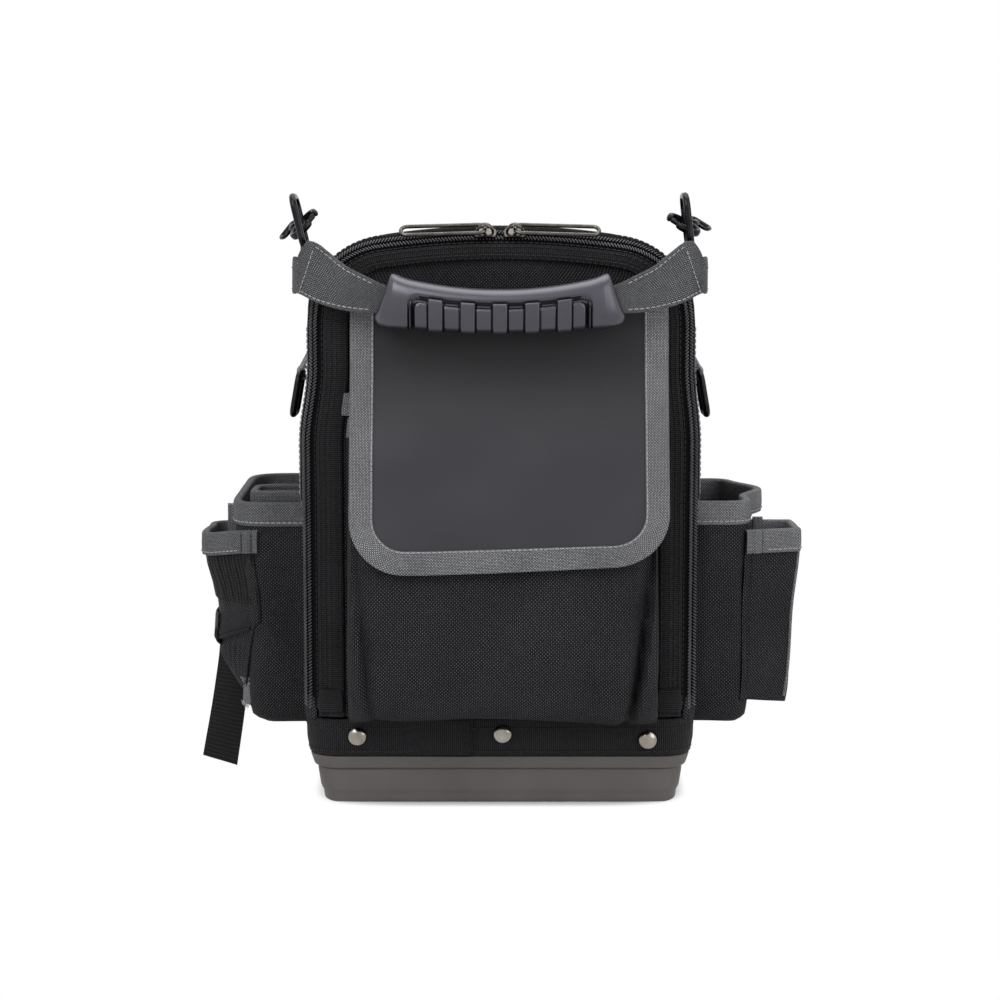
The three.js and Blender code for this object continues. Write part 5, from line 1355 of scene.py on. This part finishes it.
# The binding of an outer pocket. Between its two folds near the front seam the tape is doubled: it stands out
# there by the rise, with a crease at each fold.
def doubledBinding(name, node, rim, side, share, piece, tape):
    near, far = piece["folds"]
    creases = sum(np.exp(-(((share - fold) / piece["crease"]) ** 2)) for fold in piece["folds"])
    raised = np.clip((share - near) / 0.008, 0, 1) * np.clip((far - share) / 0.008, 0, 1)
    section = foldedTape(piece["wall"])
    loops = np.repeat(section[None], len(share), 0)
    loops[..., 0] += np.where(section[:, 0] > 0, (raised * piece["rise"] - creases * 0.9)[:, None], 0)
    binding = surface(name, alongLine(rim, loops, outward=side), closed=True)
    fit(binding, tape, "body", [node])
    outs = sideways(rim, outward=side)
    sew("threadBodyLight", (rim + outs * 1.7 - (0, 0, 10.6))[14:], outs[14:], pitch=3.3)
    return outs


# One column of a pocket's levels at given heights.
def levelAt(levels, column, z):
    knots = np.array(levels, float)
    return through(knots[:, 0], knots[:, column], z)


# Levels are (height, front, back, depth, corner).
frontAt, depthAt, cornerAt = 1, 3, 4
leftLevels = [(42, -51, 52, 26, 9), (46, -54.5, 56, 33.5, 12), (62, -56, 60, 36, 15), (110, -58, 63, 38, 20),
              (155, -59, 65, 43, 24), (174.5, -59, 65, 43, 24)]
rightLevels = [(43, -53, 50, 27, 8), (47, -56, 54, 31.5, 9), (64, -58, 58, 33, 10), (110, -59, 61, 31, 10),
               (153, -59, 62, 32, 11), (175.5, -59, 62, 32, 13)]
sleeveLevels = [(88, -48, -14, 24, 8), (150, -49, -14, 31, 9), (180.5, -50, -14, 32, 9)]
leftShape = dict(seed=41, uneven=0.9, bottom=1.5, backRise=4)
rightShape = dict(seed=43, uneven=1.1, bottom=2.5, splay=13.5)
sleeveShape = dict(seed=44, uneven=0.5, cols=60, rows=40)
boundPocket("leftPocket", "left_pocket", leftLevels, -1, 2.2, wornBinding, **leftShape)
boundPocket("rightPocket", "right_pocket", rightLevels, 1, 2.2, greyWebbing, **rightShape)
boundPocket("leftSleeve", "left_sleeve", sleeveLevels, -1, 1.8, wornBinding, **sleeveShape)

# The outer left holster starts on the pocket's rounded front corner. It is wide at its rim, gathered by
# elastic under that, drawn in at its waist and tapered to its foot.
holster = dict(
    z=(57, 62, 70, 75, 84, 94.5, 100, 107, 119, 136, 152.6),
    depth=(6, 9.5, 14.2, 16.6, 19.4, 19.8, 19.4, 18.6, 18.8, 20.2, 21),
    front=(-24, -24.5, -24.5, -24, -23, -22, -22.5, -24, -28, -31, -31),
    back=(6, 9, 13, 15, 18, 19, 19.5, 20.5, 25, 28, 28),
    attachA=(-40, -43, -47.5, -50, -53, -55, -55.9, -56.1, -56.3, -55.9, -57.9), wall=1.8,
    waist=84, waistRise=0.4, folds=(0.039, 0.097), crease=0.007, rise=1.0,
)
holsterZ = z = np.linspace(holster["z"][0], holster["z"][-1], 92)
parts = {key: through(holster["z"], holster[key], z) for key in ("depth", "front", "back", "attachA")}
base0, corner0, front0 = (
    through(holster["z"], levelAt(leftLevels, column, holster["z"]), z)
    for column in (depthAt, cornerAt, frontAt)
)
# The attaching edge lies on the corner's arc: out = depth - corner + the arc's rise at that place along the
# wall. It is lifted along the arc's normal, more at the rim, where it crosses the pocket's own binding.
fall = np.clip((front0 + corner0 - parts["attachA"]) / corner0, 0, 1)
lift = np.interp(z, [130, 142, 152.6], [0.9, 2.2, 2.6])
attachA = parts["attachA"] - lift * fall
attachB = base0 - corner0 + (corner0 + lift) * np.sqrt(1 - fall**2)
# From there the cloth first follows the corner, a little further off, and then leaves it
midFall, midLift = fall * 0.55, lift + 1.4
wrapA = front0 + corner0 - (corner0 + midLift) * midFall
wrapB = base0 - corner0 + (corner0 + midLift) * np.sqrt(1 - midFall**2)
foot = base0 + 0.4
outer = foot + parts["depth"]
faceEnds = (parts["front"] - 3, outer), (parts["back"], outer), (parts["back"] + 0.5, foot)
corners = np.stack([np.stack(pair, 1) for pair in ((attachA, attachB), (wrapA, wrapB), *faceEnds)], 1)
plan = softLines(corners, np.clip(parts["depth"] * 0.75, 1, 13), 120)
grid = np.stack([plan[..., 1], plan[..., 0], np.broadcast_to(z[:, None], plan.shape[:2])], 2)
share = np.linspace(0, 1, 120)
free = np.sin(pi * share) ** 0.5
below = z[:, None] - holster["waist"]
waist = np.exp(-((below / 2.2) ** 2)) - 0.5 * np.exp(-(((below - 5) / 3.5) ** 2))
pleats = np.sin(share * 2 * pi * 16 + below / 9 + 1.2 * np.sin(share * 9)) * free
underElastic = (np.clip((z - 110) / 8, 0, 1) * np.clip((144 - z) / 10, 0.15, 1))[:, None]
gather = np.exp(-(((below + 9) / 8) ** 2)) * 0.55 + underElastic * 0.35
bulging = pleats * gather - 1.8 * waist * free + 0.8 * free * unevenness(grid * (1, 1, 0.7), 26, 51)
grid += gridNormals(grid, (1, 0, 0)) * bulging[..., None]
# The waist's crease climbs towards the front, where the cloth is sewn down
grid[..., 2] -= holster["waistRise"] * np.clip(grid[..., 1] + 20, -36, 8) * np.exp(-((below / 14) ** 2))
# The rim climbs towards the front seam
grid[..., 2] += np.interp(share, [0, 0.1, 0.3, 0.6], [6, 5, 1.4, 0]) * np.clip((z[:, None] - 118) / 22, 0, 1)
holsterGrid, cloth = grid, onWall(grid, -1)
holsterCloth = thicken(surface("leftHolster", cloth, facing=(-1, 0, 0)), holster["wall"])
fit(holsterCloth, ballisticNylon, "body", ["left_holster"])
low, high = np.searchsorted(z, 113.5), np.searchsorted(z, 141)
outwards = gridNormals(cloth, (-1, 0, 0))
elastic = (cloth + outwards * 0.9)[low:high, 1:-2]
elastic = thicken(surface("holsterElastic", elastic, facing=(-1, 0, 0)), 0.8)
fit(elastic, elasticTape, "body")
rim = cloth[-1] - (0, 0, 0.6)
outs = doubledBinding("leftHolsterBinding", "left_holster_binding", rim, -1, share, holster, wornBinding)
# The corded seam where the holster is sewn to the pocket's corner: a dark cord that also stands in for the
# shadow along the seam
seamLine = cloth[3:-12, 0] + (0, -0.5, 0)
seamCordAndShadow = surface("holsterSeamCordAndShadow", tubeGrid(seamLine, 0.75, 8, (1, 0, 0)), closed=True)
fit(seamCordAndShadow, strapWebbing, "body")
for fold in holster["folds"]:
    k = int(fold * (len(share) - 1))
    start = rim[k] + outs[k] * 1.9
    sew("threadBody", [start - (0, 0, 1), start - (0, 0, 11.6)], outs[k], pitch=2.6)
# The edge that the cloth is folded over at the waist, and the keeper of soft tape at its outer end
k = np.searchsorted(z, holster["waist"] + 1.5)
edge = (cloth + outwards * 0.5)[k, 4:60]
foldedEdge = surface("holsterFold", tubeGrid(edge, 0.9, 10, (0, 0, 1)), closed=True)
fit(foldedEdge, blackWebbing, "body")
keeper = np.array(
    [(-168.5, -21, 97), (-171.6, -22, 95.4), (-173.2, -22.5, 91.6), (-172.6, -22.5, 87), (-170, -22, 84.2),
     (-166.5, -21, 83.3)]
)
keeper = np.stack([through(np.arange(6), keeper[:, k], np.linspace(0, 5, 40)) for k in range(3)], 1)
tape = softLoop([(-0.9, -2.6), (0.9, -2.6), (0.9, 2.6), (-0.9, 2.6)], 0.8, 4)
keeper = surface("holsterKeeper", alongLine(keeper, tape, upY), closed=True)
fit(keeper, strapWebbing, "body")
print("left pockets ready")

# Cinch round the waist under the fold, and the free end of its webbing
z = np.array([86.3, 86.6, 88, 95, 102, 103.5, 103.8])
bulk = np.array([0.5, 1, 1.2, 1.2, 1.2, 1, 0.5])
rows = []
for height, grow in zip(z, bulk):
    row = holsterGrid[np.searchsorted(holsterZ, height), 46:118].copy()
    row[:, 0] += 0.5 + grow
    row[:, 1] += (0.4 + grow) * np.clip((row[:, 1] - 14) / 5, 0, 1)
    row[:, 2] = height
    rows.append(row)
cinch = thicken(surface("cinchStrap", onWall(np.stack(rows), -1), facing=(-1, 0, 0)), 1.3)
fit(cinch, strapWebbing, "body", ["cinch_strap"])

# The webbing's free end: how far below its top, how far out and ahead from there, and its width. It is cut
# aslant.
tail = dict(
    top=97, x=-167, y=26, drop=(0, 21, 49, 92.4), out=(0, 0.4, 3, 8.8), ahead=(0, 1, 7, 22),
    width=(19, 20, 20.6, 21.6), thickness=1.5, slant=0.18, cut=0.26,
)
drop = np.linspace(0, tail["drop"][-1], 90)
out, width = through(tail["drop"], tail["out"], drop), through(tail["drop"], tail["width"], drop)
s = np.linspace(-0.5, 0.5, 16)
a = s * width[:, None]
cup = 0.9 * (s * 2) ** 2 * np.sin(drop / 30)[:, None]
height = np.broadcast_to(tail["top"] - drop[:, None], a.shape)
place = np.stack([tail["x"] - out[:, None] + a, tail["y"] - a * tail["slant"] + cup, height], 2)
place[..., 1] += 0.5 * unevenness(place, 40, 61)
place[..., 1] -= through(tail["drop"], tail["ahead"], drop)[:, None]
place[..., 2] -= a * tail["cut"] * np.clip(drop / tail["drop"][-1], 0, 1)[:, None]
strapTail = thicken(surface("strapTail", place), tail["thickness"], 0)
fit(strapTail, strapWebbing, "tail", ["strap_tail"])

# Outer sheath on the right: a flat pocket whose front is its side, with a gusset behind a folded seam
sheath = dict(
    wall=1.8, z=(56, 66, 110, 139, 158), depth=(23.5, 24.5, 27.5, 29.6, 30),
    front=(-43, -44, -46, -47, -47), back=(-12, -11.5, -9, -8, -8),
    attach=(-56.4, -56.8, -56.4, -56, -56), lift=(0.6, 0.6, 0.6, 0.8, 2.2),
    folds=(0.041, 0.1), crease=0.008, rise=0.9, bottomRise=3.5, bulge=0.9, uneven=0.6,
)
foot, top = sheath["z"][0], sheath["z"][-1]
z = np.concatenate([np.full(4, float(foot)), np.linspace(foot, top, 70)])
tuck = np.concatenate([[0.12, 0.5, 0.85, 0.97], np.ones(70)])
depth, front, back = (through(sheath["z"], sheath[key], z) for key in ("depth", "front", "back"))
base1 = levelAt(rightLevels, depthAt, z) + 0.5
outer = base1 + depth * (0.92 + 0.08 * tuck)
front, back = front + (1 - tuck) * 8, back - (1 - tuck) * 8
# Its front seam lies on the right pocket's rounded corner, as the holster's does
front1, corner1 = (levelAt(rightLevels, column, z) for column in (frontAt, cornerAt))
attach, lift = (through(sheath["z"], sheath[key], z) for key in ("attach", "lift"))
fall = np.clip((front1 + corner1 - attach) / corner1, 0, 1)
seamPoint = attach - lift * fall, base1 - 0.5 - corner1 + (corner1 + lift) * np.sqrt(1 - fall**2)
corners = np.stack(
    [np.stack(pair, 1) for pair in (seamPoint, (front, outer), (back, outer), (back, base1))], 1
)
plan = softLines(corners, 2.2, 110)
grid = np.stack([plan[..., 1], plan[..., 0], np.broadcast_to(z[:, None], plan.shape[:2])], 2)
share = np.linspace(0, 1, 110)
outShare = np.clip((plan[..., 1] - base1[:, None]) / depth[:, None], 0, 1)
free = np.sin(pi * share) ** 0.6 * np.clip((z - foot) / 12, 0, 1)[:, None]
middleHeight = (np.clip((z - foot + 4) / 30, 0, 1) * np.clip((top - 2 - z) / 30, 0.1, 1))[:, None]
bulging = sheath["bulge"] * np.sin(pi * outShare) * (plan[..., 0] < -40) * middleHeight
bulging += sheath["uneven"] * free * unevenness(grid * (1, 1, 0.6), 40, 71)
grid += gridNormals(grid, (1, 0, 0)) * bulging[..., None]
grid[..., 2] -= sheath["bottomRise"] * outShare * np.clip(1 - (z[:, None] - foot) / 25, 0, 1)
cloth = onWall(grid, 1)
sheathCloth = thicken(surface("rightSheath", cloth, facing=(1, 0, 0)), sheath["wall"])
fit(sheathCloth, ballisticNylon, "body", ["right_sheath"])
rim = cloth[-1] - (0, 0, 0.6)
doubledBinding("rightSheathBinding", "right_sheath_binding", rim, 1, share, sheath, greyWebbing)
# Grey edge tape down the outer front corner
k = np.argmax(plan[-1, :, 1] > outer[-1] - 0.6)
edgeLine = cloth[6:-8, k] + (0.7, 0.2, 0)
edgeTape = surface("sheathEdge", tubeGrid(edgeLine, 0.9, 10, (0, 1, 0)), closed=True)
fit(edgeTape, greyWebbing, "body")
# The stitches beside its front seam
sew("threadBody", cloth[8:-10, 5] - (0, 0.3, 0), (0, -1, 0))


# A section of (out, along) points that stands at a place, made thinner along the wall at each height.
def standing(section, place, rises, thins, side):
    x, y, z = place
    rows = []
    for rise, thin in zip(rises, thins):
        height = np.full(len(section), z + rise)
        rows.append(np.stack([side * (x + section[:, 0]), y + section[:, 1] * thin, height], 1))
    return np.stack(rows)


# Small webbing pieces: the ends of the rims' tapes on the side walls, a folded tab behind each outer pocket,
# and the frayed end of the holster's seam tape
for side, label, z in ((-1, "Left", 181), (1, "Right", 179)):
    end = softLoop([(0.1, -3.2), (1.6, -3.2), (1.6, 3.2), (0.1, 3.2)], 0.5, 4)
    end = standing(end, (115.7, -60, z), (-8, -7.5, 8.5, 9), (0.85, 1, 1, 0.85), side)
    fit(surface("tapeEnd" + label, end, closed=True), greyWebbing, "body")
for side, label, place, rise in ((-1, "Left", (163.6, -10, 147), 22), (1, "Right", (156.6, -20, 148), 14)):
    flat = softLoop([(-3.1, -1.5), (3.1, -1.5), (3.1, 1.5), (-3.1, 1.5)], 0.9, 4)
    fold = rise - 1.5 * (1 - np.sin(np.linspace(0.2, pi / 2, 7)))
    up = np.concatenate([[0, 0.3], np.linspace(2, rise - 1.5, 8), fold])
    thin = np.sqrt(np.clip(1 - (np.maximum(up - rise + 1.5, 0) / 1.5) ** 2, 0.01, 1))
    tab = surface("foldedTab" + label, standing(flat, place, up, thin, side), closed=True)
    fit(tab, greyWebbing, "body")
rows = np.linspace(0, 1, 14)
cols = np.linspace(-1, 1, 12)
tabX = -153 - 2.9 * cols[None] + 1.0 * rows[:, None]
tabY = -42.6 + 4.3 * cols[None] - 1.0 * (1 - cols[None] ** 2) - 1.5 * rows[:, None]
tabZ = 51 + 14.5 * rows[:, None] + 0 * cols
frayed = thicken(surface("seamTapeEnd", np.stack([tabX, tabY, tabZ], 2)), 0.7)
fit(frayed, greyWebbing, "body")
rng = np.random.default_rng(9)
count = 34
spread = rng.uniform(-1, 1, count)
atFoot = rng.random(count) < 0.55
height = np.where(atFoot, rng.uniform(49.6, 52, count), rng.uniform(64.5, 67, count))
places = np.stack([-153 - 3 * spread, -43.4 + 4.3 * spread, height], 1)
firsts = unit(np.stack([rng.normal(0, 0.7, count), rng.normal(0, 0.4, count), np.where(atFoot, -1, 1.0)], 1))
seconds = unit(np.cross(firsts, (0.2, 1.0, 0.1)))
fringe = repeated(
    "frayedThreads", *barShape(3.4, (0.2, 0.2), 6), places, firsts, seconds, np.cross(firsts, seconds)
)
fit(fringe, greyThread, "body")
print("right pockets ready")

# Threads
stitchUp("threadBody", blackThread, "body")
stitchUp("threadDoor", blackThread, "door")
stitchUp("threadBodyLight", greyThread, "body")
stitchUp("threadHandle", greyThread, "handle")
print("threads ready")

# View and light


# The share of rays that come straight from the camera, also by way of a gloss or through something clear.
def straightRays(tree):
    ray = addNode(tree, "LightPath")
    direct = addNode(
        tree, "Math", {0: ray.outputs["Is Camera Ray"], 1: ray.outputs["Is Glossy Ray"]}, operation="MAXIMUM"
    )
    either = {0: direct.outputs[0], 1: ray.outputs["Is Transmission Ray"]}
    return addNode(tree, "Math", either, operation="MAXIMUM").outputs[0]


floorX, floorY = np.meshgrid(np.linspace(-3000, 3000, 3), np.linspace(-3000, 3000, 3))
floor = surface("floor", np.stack([floorX, floorY, 0 * floorX], 2), facing=(0, 0, 1))
# Matt white backdrop paper under the bag that turns into plain white away from it
paper = bpy.data.materials.new("mattBackdropPaper")
paper.use_nodes = True
tree = paper.node_tree
tree.nodes.clear()
place = addNode(tree, "TexCoord")
reach = addNode(
    tree, "VectorMath", {0: place.outputs["Object"], 1: (1 / 0.108, 1 / 0.088, 0)}, operation="MULTIPLY"
)
sixth = []
for part in addNode(tree, "SeparateXYZ", {0: reach.outputs[0]}).outputs[:2]:
    square = addNode(tree, "Math", {0: part, 1: part}, operation="MULTIPLY")
    sixth.append(addNode(tree, "Math", {0: square.outputs[0], 1: 3.0}, operation="POWER").outputs[0])
away = addNode(tree, "Math", {0: sixth[0], 1: sixth[1]}, operation="ADD")
fade = addNode(tree, "MapRange", {0: away.outputs[0], 1: 0.6, 2: 1.35}, interpolation_type="SMOOTHSTEP")
matt = addNode(tree, "BsdfDiffuse", {"Color": toLinear("#fafafa")})
white = addNode(tree, "Emission", {"Color": (1, 1, 1, 1), "Strength": 1.0})
seen = addNode(tree, "Math", {0: fade.outputs[0], 1: straightRays(tree)}, operation="MULTIPLY")
mixed = addNode(tree, "MixShader", {0: seen.outputs[0], 1: matt.outputs[0], 2: white.outputs[0]})
addNode(tree, "OutputMaterial", {0: mixed.outputs[0]})
floor.data.materials.append(paper)


# An area lamp that looks at the bag
def areaLamp(name, place, size, power):
    lamp = bpy.data.objects.new(name, bpy.data.lights.new(name, "AREA"))
    bpy.context.scene.collection.objects.link(lamp)
    lamp.data.shape, lamp.data.size, lamp.data.size_y, lamp.data.energy = "RECTANGLE", size[0], size[1], power
    lamp.location = place
    lamp.rotation_euler = (Vector((0, -0.05, 0.17)) - lamp.location).to_track_quat("-Z", "Y").to_euler()


areaLamp("keyLamp", (-0.75, -1.25, 1.35), (1.0, 1.0), 14.5)
areaLamp("fillLamp", (1.25, -1.05, 0.8), (1.1, 1.1), 7.5)
areaLamp("topLamp", (0.1, 0.15, 1.6), (1.4, 1.1), 12)

world = bpy.data.worlds.new("studio")
bpy.context.scene.world = world
world.use_nodes = True
tree = world.node_tree
tree.nodes.clear()
level = addNode(tree, "Mix", {0: straightRays(tree), 2: 0.26, 3: 1.0}, data_type="FLOAT")
sky = addNode(tree, "Background", {"Color": (1, 1, 1, 1), "Strength": level.outputs[0]})
addNode(tree, "OutputWorld", {0: sky.outputs[0]})

camera = bpy.data.objects.new("camera", bpy.data.cameras.new("camera"))
bpy.context.scene.collection.objects.link(camera)
camera.data.lens, camera.data.sensor_width = 78.17, 36
camera.location = (0, -1.33, 0.3335)
camera.rotation_euler = (Vector((0, -0.08, 0.1795)) - camera.location).to_track_quat("-Z", "Y").to_euler()
bpy.context.scene.camera = camera
bpy.context.scene.view_settings.view_transform = "Standard"
print("view ready")
